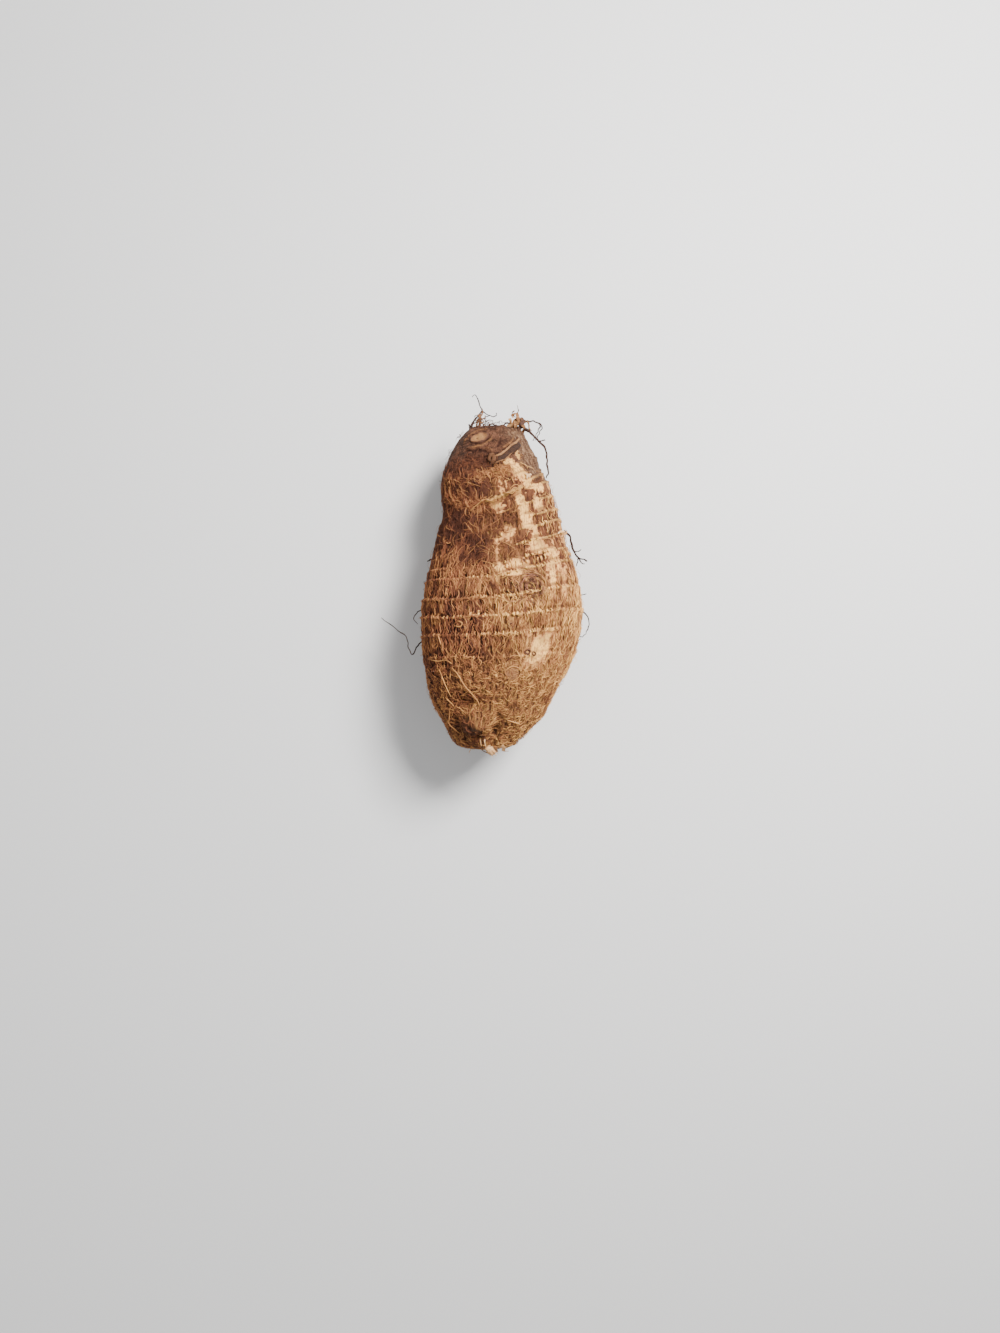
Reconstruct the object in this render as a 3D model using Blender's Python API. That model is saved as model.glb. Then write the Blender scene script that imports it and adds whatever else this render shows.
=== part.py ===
"""A taro corm lying on its side, with the dry roots, sheath, leaf scale and stub that are still on it.

Run with: blender --background --python part.py
Metres, +Z up. The corm's length runs along Y, with the crown, where the leaves grew, towards +Y. It rests on
z = 0, and the origin is in the middle of the flat patch that it rests on, under its centre of mass.
"""

import math

import bmesh
import bpy
from mathutils import Vector

MM = 0.001

# Driving dimensions. Places along the corm are measured from the tip of its base towards the crown.
CORM_LENGTH = 182 * MM
BELLY_HALF_WIDTH = 44.3 * MM
DEPTH_SHARE = 0.94  # depth of a cross-section as a share of its width
CROWN_DEPTH_LOSS = 0.16  # how much of that share is lost at the crown
LYING_PLACE = 85 * MM  # where the resting patch is along the corm
PRESSED_DEPTH = 1.8 * MM  # how far the underside is flat where the corm lies on it
DROOP = 0.062  # fall of the middle line towards the crown, per unit of length
FRONT_UNEVENNESS = 0.018  # how far a cross-section strays from round on its upper side, as a share
RING_SPACING = 10.4 * MM
RING_HEIGHT = 0.35 * MM
CLEARANCE = 0.35 * MM  # gap between the corm and each piece on it
STEPS_AROUND = 48
STEPS_ALONG = 60

# Each station is (place along, half width, sideways shift of the middle line), from base to crown.
STATIONS = [
    (0.0 * MM, 0.0 * MM, -8.0 * MM),
    (0.5 * MM, 9.0 * MM, -8.0 * MM),
    (2.0 * MM, 15.0 * MM, -8.1 * MM),
    (5.5 * MM, 18.8 * MM, -8.2 * MM),
    (10.5 * MM, 22.6 * MM, -7.2 * MM),
    (19.0 * MM, 29.0 * MM, -5.5 * MM),
    (28.0 * MM, 33.4 * MM, -4.9 * MM),
    (42.0 * MM, 38.6 * MM, -2.8 * MM),
    (59.0 * MM, 42.7 * MM, -0.6 * MM),
    (76.0 * MM, BELLY_HALF_WIDTH, 0.5 * MM),
    (91.0 * MM, 42.8 * MM, 0.8 * MM),
    (108.0 * MM, 38.6 * MM, 0.6 * MM),
    (119.0 * MM, 35.6 * MM, 0.2 * MM),
    (131.0 * MM, 32.6 * MM, 0.0 * MM),
    (144.0 * MM, 31.0 * MM, -2.0 * MM),
    (151.0 * MM, 29.6 * MM, -3.4 * MM),
    (158.0 * MM, 26.6 * MM, -5.1 * MM),
    (167.0 * MM, 23.0 * MM, -5.0 * MM),
    (174.0 * MM, 19.4 * MM, -4.4 * MM),
    (179.5 * MM, 15.4 * MM, -3.4 * MM),
    (181.4 * MM, 10.0 * MM, -3.6 * MM),
    (CORM_LENGTH, 0.0 * MM, -3.8 * MM),
]

# Swellings and hollows: (place along, degrees around, height, spread). 0 degrees is +X and 90 is +Z.
SWELLINGS = [
    (16.0 * MM, 112, 3.6 * MM, 7.0 * MM),  # the side bud near the base
    (29.0 * MM, 112, -2.2 * MM, 7.0 * MM),  # the fold above it
    (18.0 * MM, 78, -1.2 * MM, 6.0 * MM),  # the crease beside it
    (93.0 * MM, 64, 1.2 * MM, 8.0 * MM),  # the bud on the belly
    (150.0 * MM, 118, 1.6 * MM, 13.0 * MM),  # the shoulder
    (134.0 * MM, 160, -1.2 * MM, 10.0 * MM),  # the waist under it
    (60.0 * MM, 215, 1.3 * MM, 16.0 * MM),  # low swellings near the side that it lies on
    (112.0 * MM, 320, 1.5 * MM, 15.0 * MM),
]


def catmull_rom(points, at):
    """A point on the smooth curve through points, where at runs from 0 to len(points) - 1."""
    index = min(int(at), len(points) - 2)
    share = at - index
    before = points[max(index - 1, 0)]
    start = points[index]
    end = points[index + 1]
    after = points[min(index + 2, len(points) - 1)]
    return tuple(
        0.5 * (2 * b + (c - a) * share + (2 * a - 5 * b + 4 * c - d) * share**2
               + (3 * b - a - 3 * c + d) * share**3)
        for a, b, c, d in zip(before, start, end, after)
    )


def even_steps(points, count):
    """count + 1 points, ends included, evenly spaced by length along the smooth curve through points."""
    fine_count = 40 * (len(points) - 1)
    fine = [catmull_rom(points, (len(points) - 1) * i / fine_count) for i in range(fine_count + 1)]
    travelled = [0.0]
    for here, there in zip(fine, fine[1:]):
        travelled.append(travelled[-1] + math.dist(here, there))
    found = [fine[0]]
    nearest = 0
    for step in range(1, count):
        while travelled[nearest] < travelled[-1] * step / count:
            nearest += 1
        found.append(fine[nearest])
    return found + [fine[-1]]


def station_at(along):
    """The station at a place along the corm, straight between the two stations beside it."""
    for start, end in zip(STATIONS, STATIONS[1:]):
        if along <= end[0]:
            share = (along - start[0]) / (end[0] - start[0])
            return tuple(a + (b - a) * share for a, b in zip(start, end))
    return STATIONS[-1]


def middle_height(along):
    """Height of the corm's middle line over the surface that it lies on."""
    return BELLY_HALF_WIDTH * DEPTH_SHARE - PRESSED_DEPTH - DROOP * (along - LYING_PLACE)


def ring_ridge(along, angle):
    """Height of the rounded ridges where leaves were attached, which climb towards +X at the crown end."""
    climb = (0.10 + 0.22 * along / CORM_LENGTH) * math.cos(angle)
    phase = (along - climb * 40 * MM) / RING_SPACING
    return RING_HEIGHT * math.sin(math.tau * phase)


def skin_point(station, angle, lift=0.0):
    """The point of the skin at a station and an angle around it, lifted outwards, and no lower than z = 0."""
    along, half_width, shift = station
    facing_up = (1 + math.sin(angle)) / 2
    radius = half_width * (1 + FRONT_UNEVENNESS * facing_up * math.sin(3 * angle + 0.6) * math.sin(angle))
    fade = min(1.0, half_width / (12 * MM))
    radius += ring_ridge(along, angle) * fade
    for place, degrees, height, spread in SWELLINGS:
        turn = math.remainder(angle - math.radians(degrees), math.tau)
        away = math.hypot(along - place, turn * half_width)
        radius += height * math.exp(-((away / spread) ** 2)) * fade
    towards_crown = max(0.0, (along / CORM_LENGTH - 0.8) / 0.2)
    depth_share = DEPTH_SHARE - CROWN_DEPTH_LOSS * towards_crown
    x = shift + (radius + lift) * math.cos(angle)
    z = middle_height(along) + (radius * depth_share + lift) * math.sin(angle)
    return Vector((x, along - LYING_PLACE, max(z, 0.0)))


def material(name, colour, roughness):
    made = bpy.data.materials.new(name)
    made.use_nodes = True
    shader = made.node_tree.nodes["Principled BSDF"]
    shader.inputs["Base Color"].default_value = (*colour, 1)
    shader.inputs["Roughness"].default_value = roughness
    shader.inputs["Metallic"].default_value = 0.0
    return made


def put(name, data, finish, layout):
    """Places one named object, carried by the layout empty."""
    made = bpy.data.objects.new(name, data)
    bpy.context.scene.collection.objects.link(made)
    made.data.materials.append(finish)
    made.parent = layout
    return made


def mesh_from(shape, name):
    mesh = bpy.data.meshes.new(name)
    shape.to_mesh(mesh)
    shape.free()
    mesh.shade_smooth()
    return mesh


def add_corm(finish, layout):
    """The corm: a sphere's rings and segments, carried to the stations and angles of the skin."""
    stations = even_steps(STATIONS, STEPS_ALONG)
    shape = bmesh.new()
    bmesh.ops.create_uvsphere(shape, u_segments=STEPS_AROUND, v_segments=STEPS_ALONG, radius=1)
    for vertex in shape.verts:
        from_base = math.acos(max(-1.0, min(1.0, -vertex.co.z))) / math.pi
        # The sphere's -X and Y become the corm's X and Z, which keeps its faces pointing out.
        angle = math.atan2(vertex.co.y, -vertex.co.x)
        vertex.co = skin_point(stations[round(from_base * STEPS_ALONG)], angle)
    return put("corm", mesh_from(shape, "corm"), finish, layout)


def add_root(name, thickness, tip_share, route, finish, layout, steps=14):
    """A dry root: a round strand along a smooth route, thinning towards its tip."""
    curve = bpy.data.curves.new(name, "CURVE")
    curve.dimensions = "3D"
    curve.bevel_depth = thickness / 2
    curve.bevel_resolution = 2
    curve.use_fill_caps = True
    spline = curve.splines.new("POLY")
    spline.points.add(steps)
    for index, point in enumerate(even_steps(route, steps)):
        spline.points[index].co = (*point, 1)
        spline.points[index].radius = 1 - (1 - tip_share) * index / steps
    return put(name, curve, finish, layout)


def oval_grid(name, place, wall, finish, layout, steps=8):
    """A thin dry scale: a grid whose ends narrow, put at place(sideways, lengthways) and given a wall."""
    shape = bmesh.new()
    bmesh.ops.create_grid(shape, x_segments=steps, y_segments=steps, size=1)
    for vertex in shape.verts:
        narrowing = 0.35 + 0.65 * math.sqrt(1 - 0.97 * vertex.co.y**2)
        vertex.co = place(vertex.co.x * narrowing, vertex.co.y)
    scale = put(name, mesh_from(shape, name), finish, layout)
    thickness = scale.modifiers.new("wall", "SOLIDIFY")
    thickness.thickness = wall
    thickness.offset = 0
    return scale


def add_leaf_scale(finish, layout):
    """A dry scale of a leaf base, which lies on the shoulder and follows it."""
    length, width, wall = 14.0 * MM, 4.4 * MM, 0.9 * MM
    middle_along, middle_angle = 166.5 * MM, math.radians(73)
    slant = math.radians(38)  # how far its length turns from across the corm towards the crown

    def place(sideways, lengthways):
        across = lengthways * length / 2 * math.cos(slant) - sideways * width / 2 * math.sin(slant)
        upwards = lengthways * length / 2 * math.sin(slant) + sideways * width / 2 * math.cos(slant)
        station = station_at(middle_along + upwards)
        angle = middle_angle - across / station[1]
        crowning = 0.5 * MM * (1 - sideways**2)
        return skin_point(station, angle, CLEARANCE + RING_HEIGHT + wall / 2 + crowning)

    return oval_grid("leaf_scale", place, wall, finish, layout)


def add_sheath_remnant(finish, layout):
    """A papery scrap of leaf sheath that stands on the edge of the crown and curls across its width."""
    height, width, wall, curl = 7.0 * MM, 7.6 * MM, 0.8 * MM, 1.7 * MM
    foot = Vector((7.8 * MM, CORM_LENGTH - LYING_PLACE + 0.6 * MM, middle_height(CORM_LENGTH) + 4 * MM))

    def place(sideways, lengthways):
        return foot + Vector((
            sideways * width / 2,
            (lengthways + 1) * height / 2,
            -curl * sideways**2 + 0.8 * MM * lengthways,
        ))

    return oval_grid("sheath_remnant", place, wall, finish, layout)


def add_base_stub(finish, layout):
    """The broken stub of the runner that the corm grew on: a short tapered peg on the edge of the base."""
    length, thick_end, thin_end = 6.5 * MM, 2.0 * MM, 1.3 * MM
    direction = Vector((0.55, -0.8, 0.15)).normalized()
    foot = skin_point(station_at(1.2 * MM), math.radians(84), CLEARANCE + 1.8 * thick_end)
    shape = bmesh.new()
    bmesh.ops.create_cone(
        shape, cap_ends=True, segments=12, radius1=thick_end, radius2=thin_end, depth=length
    )
    bmesh.ops.transform(shape, matrix=direction.to_track_quat("Z", "Y").to_matrix().to_4x4(), verts=shape.verts)
    bmesh.ops.translate(shape, vec=foot + direction * length / 2, verts=shape.verts)
    return put("base_stub", mesh_from(shape, "base_stub"), finish, layout)


def along_route(height, points):
    """Points given in millimetres as (x, place along, height over the corm's middle line at height's place)."""
    level = middle_height(height)
    return [(x * MM, along * MM - LYING_PLACE, z * MM + level) for x, along, z in points]


def root_shapes():
    """(name, thickness, tip's share of it, route) of each root, from where it leaves the skin to its tip."""
    crown = 180 * MM
    belly = 70 * MM
    return [
        ("crown_root_left", 1.3 * MM, 0.35, along_route(crown, [
            (-16.0, 182.6, 3), (-15.2, 184.6, 4), (-13.7, 186.2, 4), (-10.9, 190.0, 5),
            (-11.8, 193.0, 5), (-12.9, 196.9, 4), (-14.8, 199.0, 3)])),
        ("crown_root_right", 1.5 * MM, 0.7, along_route(crown, [
            (12.6, 181.8, 2), (15.8, 178.4, 3), (20.8, 173.4, 4), (24.3, 169.4, 4),
            (25.9, 163.8, 4), (26.2, 159.6, 4), (26.8, 155.8, 4)])),
        ("crown_root_loop", 0.8 * MM, 0.6, along_route(crown, [
            (12.8, 184.6, -1), (16.3, 185.3, 0), (19.1, 185.1, 0), (22.0, 182.5, 0),
            (20.4, 179.0, -1), (18.0, 177.0, -2)])),
        ("side_root_right", 1.1 * MM, 0.5, along_route(belly, [
            (37.4, 122.0, 0), (39.6, 117.6, 0), (41.4, 110.6, 0), (43.6, 107.4, 0),
            (46.4, 106.2, 0), (49.2, 105.4, -1)])),
        ("side_hair_right", 0.7 * MM, 0.6, along_route(belly, [
            (47.0, 75.4, 2), (48.9, 73.0, 2), (49.6, 69.0, 1), (48.2, 65.2, 1), (46.2, 62.6, 1)])),
        ("side_root_left", 0.9 * MM, 0.5, along_route(belly, [
            (-45.8, 60.0, 2), (-46.8, 56.8, 2), (-49.8, 52.2, 2), (-51.6, 56.2, 1),
            (-52.9, 61.7, 0), (-57.8, 65.8, -2), (-68.4, 73.5, -5)])),
    ]


def main():
    for old in list(bpy.data.objects):
        bpy.data.objects.remove(old, do_unlink=True)
    layout = bpy.data.objects.new("layout", None)
    bpy.context.scene.collection.objects.link(layout)

    corm_skin = material("corm_skin", (0.30, 0.14, 0.065), 0.85)
    dry_root = material("dry_root", (0.085, 0.045, 0.03), 0.8)
    papery_sheath = material("papery_sheath", (0.36, 0.18, 0.08), 0.75)
    torn_flesh = material("torn_flesh", (0.55, 0.32, 0.16), 0.8)

    add_corm(corm_skin, layout)
    for name, thickness, tip_share, route in root_shapes():
        add_root(name, thickness, tip_share, route, dry_root, layout)
    add_leaf_scale(papery_sheath, layout)
    add_sheath_remnant(papery_sheath, layout)
    add_base_stub(torn_flesh, layout)


main()
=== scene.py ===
"""The looks of a taro corm: its ringed skin, coat of fibres, crown, roots and scraps, on a pale floor.

Laid out as an add-on and run as a script. Shapes are worked out in millimetres, as whole arrays, from two
parameters on the corm: `u`, the distance along its outline from the middle of the base to the middle of the
crown, and `a`, the angle around it in radians, where 0 is +X and a quarter turn is +Z. Tables give places on
it as (along, degrees): millimetres from the base, measured straight, and the angle around it.
"""

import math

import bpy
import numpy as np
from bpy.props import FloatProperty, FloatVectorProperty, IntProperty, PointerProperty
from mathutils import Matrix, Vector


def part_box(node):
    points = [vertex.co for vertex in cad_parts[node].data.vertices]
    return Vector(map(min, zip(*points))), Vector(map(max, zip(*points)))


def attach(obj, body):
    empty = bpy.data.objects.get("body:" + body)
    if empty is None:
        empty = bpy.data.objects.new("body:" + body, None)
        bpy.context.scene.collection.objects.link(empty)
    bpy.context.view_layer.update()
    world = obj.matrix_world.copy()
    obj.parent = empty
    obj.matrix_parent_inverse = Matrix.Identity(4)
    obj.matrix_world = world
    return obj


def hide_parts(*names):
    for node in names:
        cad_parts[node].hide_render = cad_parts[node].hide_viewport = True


bl_info = {
    "name": "Taro Corm",
    "version": (1, 0, 0),
    "blender": (4, 5, 0),
    "location": "3D View > Sidebar > Taro",
    "description": "Makes the skin, fibres, roots and stage of a taro corm",
    "category": "Add Mesh",
}

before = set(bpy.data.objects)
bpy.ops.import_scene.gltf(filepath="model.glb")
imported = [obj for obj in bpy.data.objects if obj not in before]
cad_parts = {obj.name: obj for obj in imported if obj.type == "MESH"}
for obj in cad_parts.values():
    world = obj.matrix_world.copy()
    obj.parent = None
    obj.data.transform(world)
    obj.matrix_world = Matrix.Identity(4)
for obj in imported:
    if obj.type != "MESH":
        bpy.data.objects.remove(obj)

TAU = math.tau
MM = 0.001

CORM_LOW, CORM_HIGH = (np.array(corner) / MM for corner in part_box("corm"))
BASE_Y = CORM_LOW[1]
LENGTH = CORM_HIGH[1] - CORM_LOW[1]

# The corm's outline, as in the frame: (place along from the base, half width, sideways shift of its middle).
STATIONS = np.array([
    (0.0, 0.0, -8.0), (0.5, 9.0, -8.0), (2.0, 15.0, -8.1), (5.5, 18.8, -8.2), (10.5, 22.6, -7.2),
    (19.0, 29.0, -5.5), (28.0, 33.4, -4.9), (42.0, 38.6, -2.8), (59.0, 42.7, -0.6), (76.0, 44.3, 0.5),
    (91.0, 42.8, 0.8), (108.0, 38.6, 0.6), (119.0, 35.6, 0.2), (131.0, 32.6, 0.0), (144.0, 31.0, -2.0),
    (151.0, 29.6, -3.4), (158.0, 26.6, -5.1), (167.0, 23.0, -5.0), (174.0, 19.4, -4.4), (179.5, 15.4, -3.4),
    (181.4, 10.0, -3.6), (LENGTH, 0.0, -3.8),
])
DEPTH_SHARE = 0.94  # half depth over half width
CROWN_DEPTH_LOSS = 0.16  # what that share loses by the end of the crown
CROWN_TAPER = 0.8  # share of the length from which it does
MIDDLE_HEIGHT = 39.84  # of the middle line over the floor, at the resting patch
DROOP = 0.062  # fall of the middle line towards the crown
SKIN_GAP = 0.04  # least height of the skin over the floor
FLOOR_GAP = 0.02  # least height of any piece over it
POLE_GAP = 0.3  # strands and patterns keep this far from the middles of the base and the crown

# Leaf-scar rings: where each crosses the front of the corm, in millimetres along it, and how far it
# stands out.
RINGS = np.array([
    9.5, 19.5, 30.0, 40.5, 50.5, 62.0, 71.3, 81.0, 92.2, 98.3, 106.0, 113.3, 118.9, 126.0, 134.5, 142.5,
    150.0, 159.0, 167.0, 173.0, 178.0,
])
RING_PROMINENCE = np.array([
    0.2, 0.3, 0.35, 0.4, 0.5, 0.6, 0.8, 0.8, 0.8, 0.75, 0.9, 1.2, 1.2, 1.0, 1.2, 0.7,
    0.4, 0.2, 0.3, 0.3, 0.3,
])
RIDGE_HALF = 0.7
GROOVE_DEPTH, GROOVE_OFF = 0.55, 1.8  # of the groove above each ring: share of its height, and how far up
# How steeply rings climb: (place along, slope on the -X side, slope on the +X side).
RING_SLOPES = np.array([
    (40, 0.04, 0.07), (75, -0.03, 0.13), (98, 0.0, 0.33), (130, 0.06, 0.50), (155, 0.12, 0.62),
])
SLOPES_MEET, SLOPES_BLEND = -2.0, 4.0  # the x where the slopes meet, and the reach of the soft bend there

THIN_SIDE = math.radians(24)  # the way that the side with the thin tan coat faces

# The places along the corm over which each kind of surface fades in or out.
FELT_FADES_OUT = (26, 58)
MAT_FADES_IN = (93, 106)
SCALES_FADE_IN, SCALES_FADE_OUT = (90, 102), (158, 151)
CROWN_FADES_IN = (147.0, 152.5)

# Patches where the fibre has rubbed off: (along, degrees, half length, half width).
RUBBED_PATCHES = [
    (133.3, 68.0, 6.0, 3.6), (124.4, 67.2, 6.0, 4.4), (133.0, 49.5, 4.4, 5.4), (112.9, 61.0, 6.0, 5.0),
    (105.3, 45.8, 6.4, 3.6), (100.4, 79.0, 3.2, 4.8), (144.0, 44.2, 4.4, 4.6), (145.0, 59.0, 3.6, 4.4),
    (56.6, 60.0, 5.4, 6.2), (51.4, 64.0, 3.8, 7.0), (55.0, 52.5, 6.5, 2.2), (61.0, 55.0, 3.4, 3.0),
    (133.0, 97.0, 2.0, 2.4), (152.5, 60.0, 7.0, 6.0),
    (162.0, 53.0, 4.0, 2.4), (157.6, 67.0, 3.0, 4.0), (95.0, 84.0, 1.6, 7.0), (93.0, 50.0, 5.0, 2.6),
    (97.6, 92.0, 1.4, 4.0),
    (118.0, 330.0, 7.0, 6.0), (88.0, 300.0, 6.0, 9.0), (140.0, 265.0, 6.0, 8.0), (66.0, 232.0, 7.0, 6.0),
    (104.0, 205.0, 4.0, 5.0), (36.0, 318.0, 5.0, 8.0),
]

# Places where only specks of it have rubbed off, in the same way.
SPECKLED_PATCHES = [
    (116.0, 79.0, 6.0, 6.0), (125.0, 80.0, 5.0, 6.0), (97.5, 90.0, 3.0, 9.0), (60.0, 50.0, 8.0, 5.0),
    (88.0, 38.0, 8.0, 6.0), (62.0, 70.0, 5.0, 7.0),
]

# Scraps of brown scale left among them, in the same way.
BROWN_SCRAPS = [
    (134.6, 58.6, 4.4, 2.4), (138.5, 33.3, 4.0, 4.2), (128.2, 47.0, 3.0, 4.6), (129.7, 32.0, 2.6, 3.6),
    (114.3, 72.5, 5.0, 4.6), (115.7, 49.5, 3.2, 4.2), (103.4, 59.7, 3.2, 5.4), (121.6, 38.0, 3.0, 5.0),
    (112.0, 32.0, 5.0, 3.4), (124.1, 79.5, 4.0, 4.4), (141.2, 52.8, 2.2, 4.0), (150.0, 42.0, 3.0, 4.0),
    (156.0, 43.0, 8.0, 6.4),
]

# Hollows and creases darkened with painted shade, in the same way.
PAINTED_SHADE_HOLLOWS = [
    (160.0, 101.0, 4.5, 7.0), (168.5, 80.0, 2.5, 1.8), (27.0, 115.0, 2.4, 5.0), (22.0, 124.0, 5.0, 2.6),
    (12.0, 80.0, 6.0, 1.6), (8.0, 100.0, 2.4, 3.6), (13.0, 132.0, 6.5, 2.4), (30.0, 122.0, 3.0, 5.0),
    (14.0, 110.0, 5.0, 4.0), (125.5, 130.0, 5.0, 9.0), (117.0, 138.0, 5.0, 6.0), (110.5, 110.0, 3.0, 7.0),
    (142.0, 118.0, 3.4, 13.0), (142.0, 145.0, 3.4, 9.0),
]

# Smooth worn skin on the shoulder, in the same way.
WORN_SHOULDER = [
    (168.0, 14.0, 9.0, 12.0), (157.0, 12.0, 11.0, 11.0), (165.0, 37.0, 9.0, 6.0), (175.0, 40.0, 5.0, 8.0),
    (156.0, 41.0, 8.0, 6.0),
]

# Shapes that stand out of the skin or sink into it: (height, (along, degrees, half length, half width)).
SHAPES = [
    (6.0, (15.5, 105.0, 5.8, 6.4)),  # the side bud near the base
    (-3.2, (26.5, 112.0, 3.4, 7.5)),  # the fold above it
    (-3.0, (12.0, 80.0, 9.0, 2.4)),  # the creases beside it
    (-1.8, (14.0, 131.0, 8.0, 3.0)),
    (-2.6, (8.0, 99.0, 1.8, 3.0)),  # the notch below it
    (0.9, (90.0, 69.0, 6.0, 7.0)),  # the bud on the belly
    (-0.8, (83.5, 72.0, 2.2, 7.0)),
    (1.6, (150.5, 122.0, 10.0, 14.0)),  # the shoulder
    (-1.4, (133.0, 168.0, 8.0, 12.0)),  # the waist under it
    (-2.6, (159.6, 100.0, 4.6, 7.0)),  # the hollow of a lost leaf
    (1.0, (172.0, 71.0, 5.0, 6.0)),  # the cushion of another
    (1.8, (162.0, 8.0, 7.0, 10.0)),  # the fuller side of the shoulder
]

# Edges of old leaf bases, raised or sunk: (height, half width, [(along, degrees), ...]).
EDGES = [
    (0.8, 0.6, [(178.3, 106), (177.4, 123), (174.6, 133), (171.5, 138)]),
    (0.8, 0.7, [(166.5, 127), (166.8, 112.6), (168.4, 101.8), (171.9, 92.6), (175.1, 89)]),
    (-0.7, 0.7, [(164.9, 127), (165.2, 112.6), (166.8, 101.8), (170.5, 90.6), (175.1, 86.5)]),
    (0.7, 0.6, [(177.1, 84.6), (173.1, 87.5), (170.6, 92.3), (168.1, 95.1)]),
    (1.1, 0.7, [(178.4, 53), (175.2, 54.1), (171.9, 56.7), (168.5, 64.5), (165.8, 74.9)]),
    (0.6, 0.5, [(167.5, 84.5), (170.0, 81.7), (172.5, 80.0)]),
    (-0.8, 0.6, [(167.0, 82.0), (169.4, 78.8), (171.5, 78.2)]),
    (0.9, 0.7, [(165.5, 117.7), (167.1, 109.5), (166.6, 98.0), (165.0, 89.8)]),
    (-1.0, 0.8, [(164.0, 115.7), (165.3, 109.5), (164.8, 98.0), (163.2, 90.8)]),
    (1.7, 1.0, [(133.7, 106), (135.2, 99.5), (136.8, 92.3), (138.5, 84.1), (140.9, 74.3), (144.7, 61.8),
                (148.9, 47), (151.4, 35.6), (153, 20)]),
    (-1.3, 1.0, [(131.9, 104), (133.4, 97.5), (135, 90.3), (136.7, 82.1), (139.1, 72.3), (142.7, 59.8),
                 (146.5, 45), (149, 33.6)]),
]

# Buds, around which the fibres turn: (along, degrees, reach, turn from straight outwards, mauve).
BUDS = [
    (15.5, 106.0, 11.0, 0.0, 0.0),
    (87.5, 69.9, 9.0, math.pi / 2, 1.0),
    (81.8, 74.0, 6.5, 0.0, 1.0),
    (43.0, 77.1, 4.6, math.pi / 2, 0.3),
]


def catmull_rom(points, at):
    """Points of the smooth curve through `points`: the cubic that leaves each parallel to its neighbours.

    `at` counts the points from 0, and its fraction is the share of the way to the next.
    """
    padded = np.vstack([points[:1], points, points[-1:]])
    index = np.clip(at.astype(int), 0, len(points) - 2)
    share = (at - index)[:, None]
    before, start, end, after = (padded[index + i] for i in range(4))
    return 0.5 * (
        2 * start + (end - before) * share
        + (2 * before - 5 * start + 4 * end - after) * share**2
        + (3 * start - before - 3 * end + after) * share**3
    )


def by_length(points):
    """Distance travelled along a line of points up to each: the running sum of the steps' lengths."""
    return np.concatenate([[0.0], np.cumsum(np.linalg.norm(np.diff(points, axis=0), axis=1))])


OUTLINE = catmull_rom(STATIONS, np.linspace(0, len(STATIONS) - 1, 4000))
OUTLINE_U = by_length(OUTLINE[:, :2])
END_U = OUTLINE_U[-1]


def outline(u):
    """(place along, half width, shift) of the corm's outline at the distance u along it."""
    return tuple(np.interp(u, OUTLINE_U, OUTLINE[:, column]) for column in range(3))


def u_at(along):
    """The distance along the outline at which it is `along` from the base."""
    return np.interp(along, OUTLINE[:, 0], OUTLINE_U)


def smooth(low, high, value):
    """0 before low, 1 past high, whichever way round they are, and the cubic 3t^2 - 2t^3 between them."""
    share = np.clip((value - low) / (high - low), 0, 1)
    return share * share * (3 - 2 * share)


def lattice_noise(u, a, columns, spacing, seed):
    """Smooth noise from 0 to 1: random heights on a lattice that closes around the corm, blended between.

    It has `columns` around the corm and a row every `spacing` along it. The blend is 3t^2 - 2t^3 both ways.
    """
    rows = int(END_U / spacing) + 3
    heights = np.random.default_rng(seed).random((rows, columns))
    column = np.mod(a, TAU) / TAU * columns
    row = np.clip(u / spacing, 0, rows - 2)
    left, low = np.floor(column).astype(int), np.floor(row).astype(int)
    across, upwards = smooth(0, 1, column - left), smooth(0, 1, row - low)
    left, right, high = left % columns, (left + 1) % columns, np.minimum(low + 1, rows - 1)
    lower = heights[low, left] * (1 - across) + heights[low, right] * across
    upper = heights[high, left] * (1 - across) + heights[high, right] * across
    return lower * (1 - upwards) + upper * upwards


def unrolled(u, a, along, degrees):
    """How far up and across each place is from (along, degrees), in millimetres, as on skin laid flat."""
    across = np.mod(a - math.radians(degrees) + math.pi, TAU) - math.pi
    return u - u_at(along), across * np.maximum(outline(u)[1], 1)


def spots(u, a, centres):
    """The strongest of several ovals: exp(-d^2), with d the distance from its centre in its half sizes."""
    found = np.zeros(np.broadcast(u, a).shape)
    for along, degrees, half_along, half_around in centres:
        up, across = unrolled(u, a, along, degrees)
        found = np.maximum(found, np.exp(-((up / half_along) ** 2) - (across / half_around) ** 2))
    return found


def line_distance(u, a, line):
    """Distance over the skin to a line of (along, degrees) points: the least over the line's parts."""
    nearest = np.full(np.broadcast(u, a).shape, np.inf)
    corners = [unrolled(u, a, *point) for point in line]
    for (up, across), (up_next, across_next) in zip(corners, corners[1:]):
        part_up, part_across = up - up_next, across - across_next
        share = np.clip((up * part_up + across * part_across) / (part_up**2 + part_across**2), 0, 1)
        nearest = np.minimum(nearest, np.hypot(up - share * part_up, across - share * part_across))
    return nearest


def edges(u, a):
    """Height of the leaf-base edges: exp(-d^2) ridges and grooves, with d the distance in half widths."""
    return sum(height * np.exp(-((line_distance(u, a, line) / half) ** 2)) for height, half, line in EDGES)


def ring_rise(place, x):
    """How far a ring climbs at x from where it crosses the front: two slopes with a bend of ln(1 + e^t)."""
    left, right = (np.interp(place, RING_SLOPES[:, 0], RING_SLOPES[:, side]) for side in (1, 2))
    past = x - SLOPES_MEET
    beyond = np.logaddexp(0, past / SLOPES_BLEND) * SLOPES_BLEND
    return right * beyond + left * (past - beyond)


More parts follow.
